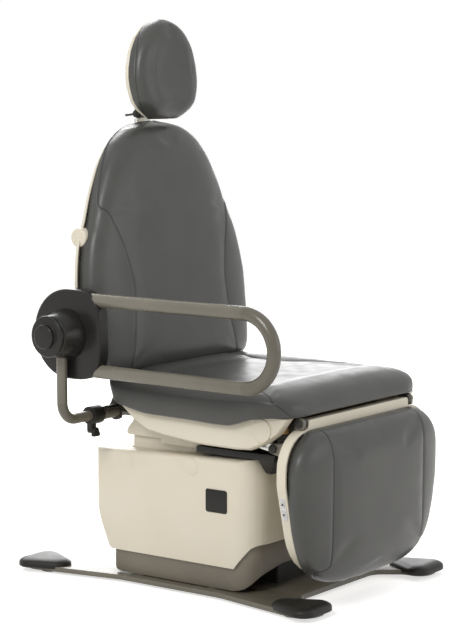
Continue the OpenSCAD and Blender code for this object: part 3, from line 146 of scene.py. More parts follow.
def stretch(tree, factor, low, high, start=NOISE_LOW, end=NOISE_HIGH):
    """A number that goes from low to high while factor goes from start to end."""
    return add(tree, "ShaderNodeMapRange", n0=factor, n1=start, n2=end, n3=low, n4=high).outputs[0]


def ramp(tree, factor, low, high, start=NOISE_LOW, end=NOISE_HIGH):
    """A colour that goes from low to high while factor goes from start to end."""
    share = stretch(tree, factor, 0.0, 1.0, start, end)
    return add(tree, "ShaderNodeMix", {"data_type": "RGBA"}, n0=share, n6=low, n7=high).outputs[2]


print("a mid grey in linear values", [round(v, 3) for v in linear("#808080")[:3]])

# %% [markdown]
# ## Floor, backdrop and light
# The photograph is a cut-out on white. The room here is a pale floor under a pale sky of soft light, as in a
# product studio with wide lamps. The white background must not come from more light, or the beige covers
# would burn out, so the sky and floor look white to the camera alone and stay at a plain level for the rest.

# %% Set the floor and the sky
FLOOR_HALF = 9
floor_mesh = bpy.data.meshes.new("floor")
floor_mesh.from_pydata([(x * FLOOR_HALF, y * FLOOR_HALF, 0) for x, y in ((-1, -1), (1, -1), (1, 1), (-1, 1))],
                       [], [(0, 1, 2, 3)])
floor = bpy.data.objects.new("floor", floor_mesh)
scene.collection.objects.link(floor)


def white_rays(tree):
    """1 for the rays that see the background: from the camera, in a reflection or through glass."""
    path = add(tree, "ShaderNodeLightPath")
    seen = add(tree, "ShaderNodeMath", {"operation": "MAXIMUM"},
               n0=path.outputs["Is Camera Ray"], n1=path.outputs["Is Glossy Ray"])
    return add(tree, "ShaderNodeMath", {"operation": "MAXIMUM"},
               n0=seen.outputs[0], n1=path.outputs["Is Transmission Ray"]).outputs[0]


# Painted studio floor, matt and pale: it bounces a soft light up under the seat and keeps a faint shadow
FLOOR_GLOW = 0.62
floor_paint, tree, paint = start_finish("pale_floor_paint", Base_Color=linear("#DEDCD8"), Roughness=0.9,
                                        Specular_IOR_Level=0.2)
glow = add(tree, "ShaderNodeEmission", Color=(1, 1, 1, 1), Strength=FLOOR_GLOW)
both = add(tree, "ShaderNodeAddShader", n0=paint.outputs[0], n1=glow.outputs[0])
choice = add(tree, "ShaderNodeMixShader", n0=white_rays(tree), n1=paint.outputs[0], n2=both.outputs[0])
out = next(n for n in tree.nodes if n.type == "OUTPUT_MATERIAL")
tree.links.new(choice.outputs[0], out.inputs["Surface"])
floor.data.materials.append(floor_paint)

# The sky lights the chair at SKY_LEVEL, and the rays that see it find it white
SKY_LEVEL = 0.58
world = bpy.data.worlds.new("studio")
world.use_nodes = True
scene.world = world
sky = world.node_tree
sky.nodes.clear()
level = add(sky, "ShaderNodeMath", {"operation": "MULTIPLY_ADD"},
            n0=white_rays(sky), n1=1 - SKY_LEVEL, n2=SKY_LEVEL)
back_light = add(sky, "ShaderNodeBackground", Color=(1, 1, 1, 1), Strength=level.outputs[0])
sky.links.new(back_light.outputs[0], add(sky, "ShaderNodeOutputWorld").inputs["Surface"])


def soft_lamp(name, place, aim, size, power):
    """A square lamp that faces the point aim."""
    data = bpy.data.lights.new(name, "AREA")
    data.size = size
    data.energy = power
    lamp = bpy.data.objects.new(name, data)
    scene.collection.objects.link(lamp)
    lamp.location = place
    ahead = Matrix.Translation(place).inverted() @ Matrix.Translation(aim)
    lamp.rotation_euler = ahead.to_translation().to_track_quat("-Z", "Y").to_euler()
    return lamp


# The key is above on the arm's side. The sheen lamp is low and opposite the camera, to shine along the seat
soft_lamp("key_lamp", place=(-3.6, -0.4, 3.2), aim=(0, 0, 0.7), size=1.6, power=78)
soft_lamp("back_lamp", place=(1.6, 2.8, 2.6), aim=(0, 0, 0.8), size=1.8, power=60)
soft_lamp("fill_lamp", place=(1.2, -3.8, 1.6), aim=(0, 0, 0.5), size=2.2, power=18)
sheen_lamp = soft_lamp("sheen_lamp", place=(3.3, 2.5, 1.15), aim=(0, 0, 0.52), size=2.2, power=46)
sheen_lamp.visible_camera = False

# %% [markdown]
# ## Upholstery vinyl
# The cushions are covered in expanded vinyl: a woven backing under a skin of PVC, embossed with a fine
# leather grain. It could be a flat grey, but the eye reads vinyl from its satin gloss, which breaks up softly
# over the grain, and from the dark line where two panels are sewn. That dark line is painted shade: the
# vinyl is darkened in the seam's groove. The seam line is stored on the mesh.

# %% Make the vinyl
# The real grain is 0.8 mm; cells of 2.2 mm are as fine as the picture can show
PATCH_MM, GRAIN_MM, WEAR_MM = 70, 2.2, 35


# Embossed PVC leathercloth, calendered: satin gloss with a soft broken edge, grain under 1 mm
def upholstery_vinyl():
    material, tree, shader = start_finish("embossed_pvc_leathercloth", IOR=1.46)
    at = add(tree, "ShaderNodeTexCoord").outputs["Object"]
    patch = add(tree, "ShaderNodeTexNoise", Vector=at, Scale=1 / (PATCH_MM * MM), Detail=2.0)
    tone = ramp(tree, patch.outputs["Fac"], linear("#434341"), linear("#494946"))
    # Painted shade: the seam attribute darkens the vinyl in a narrow line along each seam, where its groove
    # would be in shade
    seam = add(tree, "ShaderNodeAttribute", {"attribute_name": "seam"})
    dark = ramp(tree, seam.outputs["Fac"], (1, 1, 1, 1), linear("#4A4A48"), 0.45, 1.0)
    sewn = add(tree, "ShaderNodeMix", {"data_type": "RGBA", "blend_type": "MULTIPLY"},
               n0=1.0, n6=tone, n7=dark)
    tree.links.new(sewn.outputs[2], shader.inputs["Base Color"])
    grain = add(tree, "ShaderNodeTexVoronoi", {"feature": "SMOOTH_F1"}, Vector=at, Scale=1 / (GRAIN_MM * MM))
    wear = add(tree, "ShaderNodeTexNoise", Vector=at, Scale=1 / (WEAR_MM * MM), Detail=3.0)
    gloss = stretch(tree, wear.outputs["Fac"], 0.32, 0.42)
    tree.links.new(gloss, shader.inputs["Roughness"])
    emboss = add(tree, "ShaderNodeBump", Strength=0.18, Distance=0.15 * MM, Height=grain.outputs["Distance"])
    pucker = add(tree, "ShaderNodeBump", Strength=0.25, Distance=0.8 * MM, Height=wear.outputs["Fac"],
                 Normal=emboss.outputs[0])
    tree.links.new(pucker.outputs[0], shader.inputs["Normal"])
    return material


print("made", upholstery_vinyl().name)

# %% [markdown]
# ## Moulded plastics
# The beige covers, the black pads and the plinth are injection moulded ABS. A mould that is spark eroded
# leaves a fine even texture, which scatters the highlight a little; a polished mould leaves a gloss. One
# function makes them all: what differs is the colour, the gloss and the grit of the mould.

# %% Make the plastics
DRIFT_MM, RUB_MM = 160, 45


# Injection moulded ABS: an even body colour with a slight drift, and the mould's grit as a very low bump.
# shine under 0.5 is for black parts: their fine grit and handling take away some of the mirror
def moulded_plastic(name, dark, light, rough, grit_mm, depth=0.08, shine=0.5):
    material, tree, shader = start_finish(name, IOR=1.53, Specular_IOR_Level=shine)
    at = add(tree, "ShaderNodeTexCoord").outputs["Object"]
    drift = add(tree, "ShaderNodeTexNoise", Vector=at, Scale=1 / (DRIFT_MM * MM), Detail=2.0)
    tone = ramp(tree, drift.outputs["Fac"], linear(dark), linear(light))
    tree.links.new(tone, shader.inputs["Base Color"])
    rub = add(tree, "ShaderNodeTexNoise", Vector=at, Scale=1 / (RUB_MM * MM), Detail=4.0)
    gloss = stretch(tree, rub.outputs["Fac"], rough - 0.04, rough + 0.05)
    tree.links.new(gloss, shader.inputs["Roughness"])
    grit = add(tree, "ShaderNodeTexNoise", Vector=at, Scale=1 / (grit_mm * MM), Detail=2.0)
    bump = add(tree, "ShaderNodeBump", Strength=0.2, Distance=depth * MM, Height=grit.outputs["Fac"])
    tree.links.new(bump.outputs[0], shader.inputs["Normal"])
    return material


# %% [markdown]
# ## Painted and plated metals, and plywood
# The base plate and the arm are steel under a powder coat, which cures with a faint orange-peel ripple about
# 2 mm across. Along edges the coat is thinner and a touch lighter. Links and pins are zinc plated: bare metal
# to the eye, with a fine drawn grain. The board under the seat foam is birch plywood.

# %% Make the metals and the plywood
COAT_DRIFT_MM, PEEL_MM, SCRATCH_MM, WOOD_GRAIN_MM = 120, 2.4, 1.5, 4


# Powder coated steel: satin, with orange peel, paler where the coat thins over an edge
def powder_coat(name, dark, light, rough, shine=0.5):
    material, tree, shader = start_finish(name, Specular_IOR_Level=shine)
    at = add(tree, "ShaderNodeTexCoord").outputs["Object"]
    drift = add(tree, "ShaderNodeTexNoise", Vector=at, Scale=1 / (COAT_DRIFT_MM * MM), Detail=3.0)
    tone = ramp(tree, drift.outputs["Fac"], linear(dark), linear(light))
    edge = add(tree, "ShaderNodeNewGeometry").outputs["Pointiness"]
    worn = stretch(tree, edge, 0.0, 0.25, 0.52, 0.6)
    mix = add(tree, "ShaderNodeMix", {"data_type": "RGBA"}, n0=worn, n6=tone, n7=linear("#A9A395"))
    tree.links.new(mix.outputs[2], shader.inputs["Base Color"])
    peel = add(tree, "ShaderNodeTexNoise", Vector=at, Scale=1 / (PEEL_MM * MM), Detail=1.0)
    bump = add(tree, "ShaderNodeBump", Strength=0.12, Distance=0.1 * MM, Height=peel.outputs["Fac"])
    tree.links.new(bump.outputs[0], shader.inputs["Normal"])
    gloss = stretch(tree, drift.outputs["Fac"], rough - 0.04, rough + 0.04)
    tree.links.new(gloss, shader.inputs["Roughness"])
    return material


# Zinc plated steel, drawn and tumbled: fine scratches along X make its highlight streak
def bright_zinc(name, code, rough):
    material, tree, shader = start_finish(name, Metallic=1.0, Roughness=rough, Anisotropic=0.4)
    at = add(tree, "ShaderNodeTexCoord").outputs["Object"]
    drawn = add(tree, "ShaderNodeMapping", Vector=at, Scale=(0.08, 1, 1))
    streak = add(tree, "ShaderNodeTexNoise", Vector=drawn.outputs[0], Scale=1 / (SCRATCH_MM * MM), Detail=3.0)
    dull = [c * 0.8 for c in linear(code)[:3]] + [1]
    tone = ramp(tree, streak.outputs["Fac"], dull, linear(code), 0.35, 0.65)
    tree.links.new(tone, shader.inputs["Base Color"])
    bump = add(tree, "ShaderNodeBump", Strength=0.15, Distance=0.05 * MM, Height=streak.outputs["Fac"])
    tree.links.new(bump.outputs[0], shader.inputs["Normal"])
    return material


# Birch plywood, sanded: long grain along Y in two close tones
def birch_ply(name):
    material, tree, shader = start_finish(name, Roughness=0.6)
    at = add(tree, "ShaderNodeTexCoord").outputs["Object"]
    along = add(tree, "ShaderNodeMapping", Vector=at, Scale=(1, 0.06, 1))
    grain = add(tree, "ShaderNodeTexNoise",
                Vector=along.outputs[0], Scale=1 / (WOOD_GRAIN_MM * MM), Detail=5.0)
    tone = ramp(tree, grain.outputs["Fac"], linear("#B98E58"), linear("#D9B57E"), 0.35, 0.65)
    tree.links.new(tone, shader.inputs["Base Color"])
    bump = add(tree, "ShaderNodeBump", Strength=0.15, Distance=0.1 * MM, Height=grain.outputs["Fac"])
    tree.links.new(bump.outputs[0], shader.inputs["Normal"])
    return material


# %% [markdown]
# ## One finish for each material slot
# The record of the part already says which slot each node belongs to. The finishes are made once, under the
# same slot names, and a small table then gives the right one to any node or piece.

# %% Fill the slots
finishes = {
    "upholstery": upholstery_vinyl(),
    "beige_plastic": moulded_plastic("beige_abs_spark_texture", "#DFD7C3", "#E4DCCA", 0.42, 1.6),
    "taupe_plastic": moulded_plastic("taupe_abs_satin", "#6E685B", "#787163", 0.42, 1.8),
    "black_plastic": moulded_plastic("black_abs_fine_texture", "#1F1E1C", "#262522", 0.4, 1.6, shine=0.22),
    "black_gloss": moulded_plastic("black_abs_polished", "#201F1D", "#252421", 0.26, 6.0, 0.03, 0.24),
    "grey_plastic": moulded_plastic("pale_grey_abs", "#D4D4D3", "#DDDDDC", 0.4, 1.6),
    "rubber": moulded_plastic("black_rubber", "#1E1D1C", "#242322", 0.75, 1.2, shine=0.3),
    "taupe_metal": powder_coat("taupe_powder_coat", "#605B4F", "#696457", 0.25),
    "black_metal": powder_coat("black_powder_coat", "#1F1E1C", "#262524", 0.4, 0.25),
    "grey_metal": powder_coat("grey_powder_coat", "#65635E", "#706E68", 0.45),
    "steel": bright_zinc("zinc_plated_steel", "#C9C9C7", 0.3),
    "plywood": birch_ply("birch_plywood_sanded"),
}
slot_of = {}
for entry in nodes.values():
    for held in entry.material_slots:
        slot_of[entry.name] = held.material.name.split(".")[0]
print("slots", sorted(set(slot_of.values())))

for name, entry in nodes.items():
    for held in entry.material_slots:
        held.link = "OBJECT"
        held.material = finishes[slot_of[name]]


# %% [markdown]
# ## A piece from points and faces
# Every piece is laid out in millimetres by the chair's own sizes. One function turns points and faces into an
# object at the origin, closes seams, turns its faces outwards, and smooths what bends gently. Another one
# ties it to the body that it moves with and to the nodes that it stands for.

# %% Piece helpers
CLOSE = 0.01


def piece_from(name, points, faces, sharp=38, merge=True):
    """A mesh object from points in millimetres. Faces that meet at less than sharp degrees shade smoothly."""
    mesh = bpy.data.meshes.new(name)
    mesh.from_pydata([tuple(float(c) * MM for c in p) for p in points], [],
                     [tuple(int(i) for i in f) for f in faces])
    work = bmesh.new()
    work.from_mesh(mesh)
    if merge:
        bmesh.ops.remove_doubles(work, verts=work.verts, dist=CLOSE * MM)
    bmesh.ops.recalc_face_normals(work, faces=work.faces)
    work.to_mesh(mesh)
    work.free()
    mesh.shade_smooth()
    mesh.set_sharp_from_angle(angle=math.radians(sharp))
    piece = bpy.data.objects.new(name, mesh)
    scene.collection.objects.link(piece)
    return piece


def attach(piece, body, slot, *stands_for):
    """Give the piece its finish and its body, and hide the nodes that it stands for."""
    piece.data.materials.clear()
    piece.data.materials.append(finishes[slot])
    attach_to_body(piece, body)
    if stands_for:
        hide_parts(*stands_for)
    print(piece.name, "on", body, "faces", len(piece.data.polygons))
    return piece


def settle(piece):
    """Apply the live modifiers, so that the piece is a plain mesh."""
    done = bpy.data.meshes.new_from_object(piece.evaluated_get(bpy.context.evaluated_depsgraph_get()))
    piece.modifiers.clear()
    piece.data = done
    return piece


# %% [markdown]
# ## The shape of a padded section
# A foam pad under stretched vinyl is neither a box nor an oval: its sides stand nearly straight and are drawn
# in at the base, and its face swells a little in the middle. A superellipse has just that shape. Its power
# sets how square it is, and the seam is a narrow groove at one place along it.

# %% Padded section
DRAW_IN = 0.025
SEAM_LIMIT = 0.985
SEAM_FOOT = 0.12
GROOVE = 3.0
GROOVE_SHARE = 0.4
CURVE_STEPS = 90
EVEN_SHARE = 0.1
SIDE_STEPS = 12
FACE_STEPS = 22


def half_section(width, thick, crown, seam_x, dip, soft):
    """Half of a section from its base to its middle: x across and n out of the base, at even steps. soft is
    the power of the curve: 0.3 is nearly square and 1 is an oval. A seam_x past the width runs down the side:
    at twice the width it is at the foot."""
    half = 0.5 ** (soft / 2)
    rise = np.linspace(0, half, CURVE_STEPS)
    fall = np.linspace(half, 0, CURVE_STEPS)[1:]
    c = np.concatenate([(1 - rise ** (2 / soft)) ** (soft / 2), fall])
    s = np.concatenate([rise, (1 - fall ** (2 / soft)) ** (soft / 2)])
    x = width * c * (1 - DRAW_IN * (1 - s) ** 2)
    n = (thick + crown * (1 - c * c)) * s
    run = np.concatenate([[0], np.cumsum(np.hypot(np.diff(x), np.diff(n)))])
    seam_at = np.interp(-min(seam_x / width, SEAM_LIMIT), -c, run)
    seam_at *= min(1, max(SEAM_FOOT, 2 - seam_x / width))
    near = min(GROOVE, seam_at * GROOVE_SHARE, (run[-1] - seam_at) * GROOVE_SHARE)
    steps = np.concatenate([np.linspace(0, seam_at - near, SIDE_STEPS), [seam_at],
                            np.linspace(seam_at + near, run[-1], FACE_STEPS)])
    out_x, out_n, out_c = (np.interp(steps, run, v) for v in (x, n, c))
    cosine = out_c[SIDE_STEPS] ** (1 / soft)
    out_x[SIDE_STEPS] -= dip * cosine
    out_n[SIDE_STEPS] -= dip * math.sqrt(1 - cosine * cosine)
    return out_x, out_n, out_c, steps / run[-1]


def whole_section(*sizes):
    """Both halves, from the base on +X over the middle to the base on -X, and the row of points under it,
    which is mostly spaced as the face is and a little by its length, so that no two points meet."""
    x, n, c, run = half_section(*sizes)
    under = x[0] * (1 - (1 - EVEN_SHARE) * (1 - c) - EVEN_SHARE * run)
    under[-1] = 0
    x[-1] = 0
    return (np.concatenate([x, -x[-2::-1]]), np.concatenate([n, n[-2::-1]]),
            np.concatenate([under, -under[-2::-1]]))


COLUMNS = 2 * (SIDE_STEPS + 1 + FACE_STEPS) - 1
SEAM_COLUMNS = (SIDE_STEPS, COLUMNS - 1 - SIDE_STEPS)
print("columns across a cushion", COLUMNS)

# %% [markdown]
# ## Smooth rows between a few listed ones
# Each cushion is described by a short table: how wide and how thick it is at some heights. A straight loft
# between them would show corners. A cubic that never overshoots keeps the chosen sizes and rounds the rest,
# and rows at even steps along the outline give the cloth an even mesh.

# %% Rows of a cushion
def smooth_rows(table, sizes, count):
    """count rows between the rows of a table, at even steps of real length, without overshoot."""
    rows = np.array(table, float)
    gap = np.linalg.norm(np.diff(rows * np.array(sizes), axis=0), axis=1)
    at = np.concatenate([[0], np.cumsum(gap)])
    slope = np.diff(rows, axis=0) / gap[:, None]
    same = slope[:-1] * slope[1:] > 0
    total = slope[:-1] + slope[1:]
    inner = np.where(same, 2 * slope[:-1] * slope[1:] / np.where(same, total, 1), 0)
    lean = np.vstack([slope[:1], inner, slope[-1:]])
    want = np.linspace(0, at[-1], count)
    i = np.clip(np.searchsorted(at, want) - 1, 0, len(gap) - 1)
    h = gap[i][:, None]
    u = ((want - at[i]) / gap[i])[:, None]
    return ((1 + 2 * u) * (1 - u) ** 2 * rows[i] + u * (1 - u) ** 2 * h * lean[i]
            + u * u * (3 - 2 * u) * rows[i + 1] + u * u * (u - 1) * h * lean[i + 1])


def skin_grid(count, columns):
    """Faces of a pad: the face grid, the base grid that shares its long edges, and the two end walls."""
    def face_at(r, c):
        return r * columns + c

    def base_at(r, c):
        return face_at(r, c) if c in (0, columns - 1) else count * columns + r * columns + c

    faces = []
    for r in range(count - 1):
        for c in range(columns - 1):
            faces.append((face_at(r, c), face_at(r, c + 1), face_at(r + 1, c + 1), face_at(r + 1, c)))
            faces.append((base_at(r, c), base_at(r + 1, c), base_at(r + 1, c + 1), base_at(r, c + 1)))
    for r in (0, count - 1):
        for c in range(columns - 1):
            wall = [face_at(r, c), base_at(r, c), base_at(r, c + 1), face_at(r, c + 1)]
            faces.append(tuple(dict.fromkeys(wall)))
    return faces


# %% [markdown]
# ## Blowing up a cushion
# A sewn cover is cut a little smaller than its foam, so the foam pushes it out between the seams. The cloth
# simulation does the same: the base and the seams are held, and a gentle pressure swells the rest. Gravity
# is off, because foam carries the cover, and the movement is capped so that the pad keeps its real size.

# %% Swell a cushion
PRESSURE = 4.0
FRAMES = 20
CLOTH = {"quality": 5, "mass": 0.4, "tension_stiffness": 30, "compression_stiffness": 30,
         "shear_stiffness": 10, "bending_stiffness": 4, "use_pressure": True,
         "uniform_pressure_force": PRESSURE}


# A cushion is laid out a little smaller than the solid it stands for, to leave room for its swell
SLACK_SIDE, SLACK_FACE, SWELL = 1, 1.5, 3.0 * MM


def swell(piece, held, limit):
    """Run the cloth, keep at most limit metres of movement, and leave a plain mesh."""
    mesh = piece.data
    rest = np.array([v.co[:] for v in mesh.vertices])
    group = piece.vertex_groups.new(name="sewn")
    group.add([int(i) for i in held], 1.0, "REPLACE")
    cloth = piece.modifiers.new("swell", "CLOTH")
    for key, value in CLOTH.items():
        setattr(cloth.settings, key, value)
    cloth.settings.vertex_group_mass = "sewn"
    cloth.settings.effector_weights.gravity = 0
    for step in range(1, FRAMES + 1):
        scene.frame_set(step)
    shown = piece.evaluated_get(bpy.context.evaluated_depsgraph_get()).to_mesh()
    blown = np.array([v.co[:] for v in shown.vertices])
    piece.modifiers.clear()
    piece.vertex_groups.clear()
    scene.frame_set(1)
    move = blown - rest
    far = np.linalg.norm(move, axis=1)[:, None]
    scale = limit * np.tanh(far / limit) / np.maximum(far, 1e-9)
    for vertex, place in zip(mesh.vertices, rest + move * scale):
        vertex.co = place
    print(piece.name, "swelled by up to", round(float(far.max() * scale[far.argmax()].item()) / MM, 1), "mm")


def cushion(name, sections, place, soft, shape=None, limit=SWELL):
    """A padded piece from a list of (width, thick, crown, seam, dip, base, station), laid out by place. shape
    may change how far the face stands out."""
    columns = COLUMNS
    top, low = [], []
    for width, thick, crown, seam_x, dip, base, station in sections:
        x, n, under = whole_section(width, thick, crown, seam_x, dip, soft)
        if shape:
            n = shape(x, n, station)
        top += [place(a, base + b, station) for a, b in zip(x, n)]
        low += [place(a, base, station) for a in under]
    count = len(sections)
    faces = skin_grid(count, columns)
    piece = piece_from(name, top + low, faces, 180, False)
    loose = [v.index for v in piece.data.vertices if v.index >= count * columns
             and (v.index - count * columns) % columns in (0, columns - 1)]
    held = list(range(count * columns, 2 * count * columns))
    for r in range(count):
        held += [r * columns, r * columns + columns - 1] + [r * columns + c for c in SEAM_COLUMNS]
    swell(piece, held, limit)
    # The seam attribute is 1 on the seam columns; the vinyl uses it to paint shade, a dark line along each
    # seam's groove
    mark = piece.data.attributes.new("seam", "FLOAT", "POINT")
    values = np.zeros(len(piece.data.vertices), np.float32)
    lines = []
    for c in SEAM_COLUMNS:
        values[[r * columns + c for r in range(count)]] = 1.0
        inner = c + (1 if c < columns / 2 else -1)
        lines.append([tuple(piece.data.vertices[r * columns + inner].co) for r in range(count)])
    mark.data.foreach_set("value", values)
    work = bmesh.new()
    work.from_mesh(piece.data)
    work.verts.ensure_lookup_table()
    bmesh.ops.delete(work, geom=[work.verts[i] for i in loose], context="VERTS")
    bmesh.ops.recalc_face_normals(work, faces=work.faces)
    work.to_mesh(piece.data)
    work.free()
    piece.data.shade_smooth()
    soften = piece.modifiers.new("soften", "SUBSURF")
    soften.levels = soften.render_levels = 1
    return piece, lines


# %% [markdown]
# ## The seat cushion
# The seat is 604 mm wide and 533 mm deep, with a waterfall front. Its side seams run from the back corners
# forward, turn out over the front corners and run down the sides. The panel between them is a little hollow,
# as foam is where people sit. The table holds, from the rear: how far along, the half width, the bottom, the
# top, and where the seam lies, each as a share of the seat's own size.

# %% Make the seat
SEAT_LENGTH, SEAT_WIDTH, SEAT_BASE, SEAT_DEPTH, SEAT_REAR = 533, 604, 427.3, 94, 153
SEAT_CROWN, SEAT_SOFT, SEAT_ROWS = 5, 0.36, 78
SEAM_DIP = 2.6
seat_table = [
    [0, 0.93, 0.755, 0.97, 0.609], [0.009, 0.965, 0.657, 1, 0.609], [0.024, 0.98, 0.5, 1, 0.609],
    [0.049, 0.993, 0.245, 1, 0.609], [0.094, 1, 0.19, 1, 0.609], [0.235, 1, 0.053, 1, 0.609],
    [0.33, 1, 0.043, 1, 0.611], [0.448, 1, 0.032, 1, 0.672], [0.52, 1, 0.016, 1, 0.705],
    [0.606, 1, 0, 1, 0.73], [0.674, 1, 0.003, 1, 0.775], [0.707, 1, 0.043, 1, 0.8],
    [0.76, 1, 0.145, 1, 0.835], [0.809, 1, 0.215, 0.995, 0.87], [0.859, 0.99, 0.26, 0.975, 0.91],
    [0.906, 0.97, 0.287, 0.935, 0.96], [0.944, 0.935, 0.293, 0.87, 1.25], [0.972, 0.88, 0.298, 0.77, 1.7],
    [0.989, 0.8, 0.303, 0.65, 1.75], [1, 0.73, 0.318, 0.5, 1.7]]
HOLLOW_DEPTH, HOLLOW_WIDTH, HOLLOW_FLARE = 8, 205, 40
HOLLOW_REAR, HOLLOW_FRONT, HOLLOW_RIM = 50, 440, 45


def seat_place(x, n, station):
    return (x, SEAT_REAR - station, SEAT_BASE + n)


def eased(off):
    """0 outside a rim, 1 from HOLLOW_RIM inside it, and a soft slope between."""
    share = np.clip(off / HOLLOW_RIM, 0, 1)
    return share ** 2 * (3 - 2 * share)


def hollow(x, n, station):
    """The middle panel lies lower than the bolsters beside it and the roll ahead of it."""
    edge = HOLLOW_WIDTH + HOLLOW_FLARE * station / SEAT_LENGTH
    return n - HOLLOW_DEPTH * eased(edge - abs(x)) * eased(min(HOLLOW_FRONT - station, station - HOLLOW_REAR))


sections = []
for along, half, bottom, top, seam in smooth_rows(
        seat_table, (SEAT_LENGTH, SEAT_WIDTH / 2, SEAT_DEPTH, SEAT_DEPTH, 1), SEAT_ROWS):
    rise = SEAT_CROWN * top
    thick = (top - bottom) * SEAT_DEPTH - rise - SLACK_FACE
    sections.append((SEAT_WIDTH / 2 * half - SLACK_SIDE, thick, rise, seam * SEAT_WIDTH / 2, SEAM_DIP,
                     bottom * SEAT_DEPTH, along * SEAT_LENGTH))
seat, seat_seams = cushion("seat_pad", sections, seat_place, SEAT_SOFT, hollow)
attach(seat, "seat", "upholstery", "seat_cushion")

# %% [markdown]
# ## The back cushion
# The back stands on its own hinge and leans back 6.4 degrees. Its outline is a tall rounded triangle, widest
# at the elbows. Two seams climb it and turn out to the sides where it narrows. It is laid out in the frame of
# the back, with Z up the back, and one matrix carries it to its place.

# %% Make the back
RECLINE, BACK_HINGE = math.radians(6.4), (0, 176, 481)
back_frame = Matrix.Translation(BACK_HINGE) @ Matrix.Rotation(-RECLINE, 4, "X")
BACK_PLANE, BACK_LOW, BACK_HIGH, BACK_WIDTH, BACK_THICK, BACK_CROWN = 19, 24, 633, 630, 65, 13
BACK_SOFT, BACK_ROWS, BASE_LIFT = 0.46, 92, 0.3
back_table = [
    [0, 0.925, 0.72, 0.68], [0.019, 0.942, 0.92, 0.68], [0.066, 0.968, 1, 0.66], [0.167, 0.99, 1, 0.617],
    [0.25, 0.997, 1, 0.593], [0.34, 1, 1, 0.584], [0.405, 0.984, 1, 0.604], [0.49, 0.948, 1, 0.643],
    [0.556, 0.903, 1, 0.688], [0.601, 0.857, 1, 0.72], [0.65, 0.818, 1, 0.76], [0.701, 0.779, 1, 1],
    [0.77, 0.715, 0.99, 1], [0.836, 0.643, 0.97, 1], [0.916, 0.513, 0.91, 1], [0.953, 0.416, 0.83, 1],
    [0.978, 0.318, 0.7, 1], [0.993, 0.201, 0.5, 1], [1, 0.081, 0.3, 1]]


def in_back(x, y, z):
    return tuple(back_frame @ Matrix.Translation((x, y, z)).to_translation())


def back_place(x, n, station):
    return in_back(x, BACK_PLANE - n, station)


sections = []
back_tall = BACK_HIGH - BACK_LOW
for up, half, thick, seam in smooth_rows(back_table, (back_tall, BACK_WIDTH / 2, BACK_THICK, 1), BACK_ROWS):
    sections.append((BACK_WIDTH / 2 * half - SLACK_SIDE, BACK_THICK * thick - SLACK_FACE, BACK_CROWN * thick,
                     seam * BACK_WIDTH / 2, SEAM_DIP * thick, BASE_LIFT, BACK_LOW + up * back_tall))
back, back_seams = cushion("back_pad", sections, back_place, BACK_SOFT)
attach(back, "back", "upholstery", "back_cushion")

# %% [markdown]
# ## The headrest cushion
# The headrest is an egg shape, dished in the middle to hold the head: a raised ring with a hollow inside it.
# The hollow is added to the section as a smooth dip that depends on how far a point is from the centre.

# %% Make the headrest
HEAD_LEAN, HEAD_HINGE = math.radians(2.6), (0, -5, 728)
head_frame = back_frame @ Matrix.Translation(HEAD_HINGE) @ Matrix.Rotation(HEAD_LEAN, 4, "X")
HEAD_PLANE, HEAD_LOW, HEAD_HEIGHT, HEAD_WIDTH, HEAD_THICK = 32.3, 91, 244, 244, 56
HEAD_SOFT, HEAD_ROWS, HEAD_DIP, HEAD_SWELL = 0.62, 60, 1.2, 2.0 * MM
# The dish: how deep, and where its middle and its rim are as shares of the headrest
DISH_DEPTH, DISH_MIDDLE, DISH_ACROSS, DISH_UP = 13, 0.46, 0.31, 0.34
head_table = [
    [0, 0.42, 0.4], [0.045, 0.57, 0.72], [0.107, 0.75, 0.9], [0.184, 0.885, 0.98], [0.324, 0.98, 1],
    [0.414, 1, 1], [0.504, 0.985, 1], [0.68, 0.88, 1], [0.82, 0.7, 0.95], [0.926, 0.46, 0.8],
    [0.975, 0.26, 0.6], [1, 0.1, 0.4]]


def in_head(x, y, z):
    return tuple(head_frame @ Matrix.Translation((x, y, z)).to_translation())


def head_place(x, n, station):
    return in_head(x, -HEAD_PLANE - n, station)


def dish(x, n, station):
    """A hollow in the middle of the headrest, oval and soft at its rim."""
    centre = DISH_MIDDLE * HEAD_HEIGHT - HEAD_LOW
    off = np.hypot(x / (DISH_ACROSS * HEAD_WIDTH), (station - centre) / (DISH_UP * HEAD_HEIGHT))
    return n - DISH_DEPTH * np.exp(-off ** 4) * (n > HEAD_THICK / 2)


sections = []
for up, half, thick in smooth_rows(head_table, (HEAD_HEIGHT, HEAD_WIDTH / 2, HEAD_THICK), HEAD_ROWS):
    sections.append((HEAD_WIDTH / 2 * half - SLACK_SIDE, HEAD_THICK * thick - SLACK_FACE, 0,
                     HEAD_WIDTH / 2, HEAD_DIP * thick, BASE_LIFT, up * HEAD_HEIGHT - HEAD_LOW))
headrest, _ = cushion("headrest_pad", sections, head_place, HEAD_SOFT, dish, HEAD_SWELL)
attach(headrest, "head", "upholstery", "headrest_cushion")

# %% [markdown]
# ## The leg rest cushion
# The leg rest hangs under the front edge of the seat. Its pad is a broad shield with a seam down each side
# that runs out at the rounded foot.

# %% Make the leg rest
LEG_WIDTH, LEG_LOW, LEG_HIGH, LEG_FRONT, LEG_THICK, LEG_CROWN = 612, 55, 424, -380.3, 59, 6
LEG_SOFT, LEG_ROWS = 0.55, 70
leg_table = [
    [0, 0.24, 0.35, 1], [0.008, 0.4, 0.5, 1], [0.022, 0.54, 0.65, 1], [0.068, 0.69, 0.84, 1],
    [0.154, 0.825, 0.95, 0.647], [0.263, 0.9, 1, 0.647], [0.417, 0.962, 1, 0.647], [0.583, 0.995, 1, 0.647],
    [0.743, 1, 1, 0.647], [0.821, 0.98, 1, 0.647], [0.894, 0.925, 0.95, 0.647], [0.957, 0.835, 0.8, 0.647],
    [0.992, 0.755, 0.5, 0.647], [1, 0.69, 0.2, 0.647]]


def leg_place(x, n, station):
    return (x, LEG_FRONT - n, station)


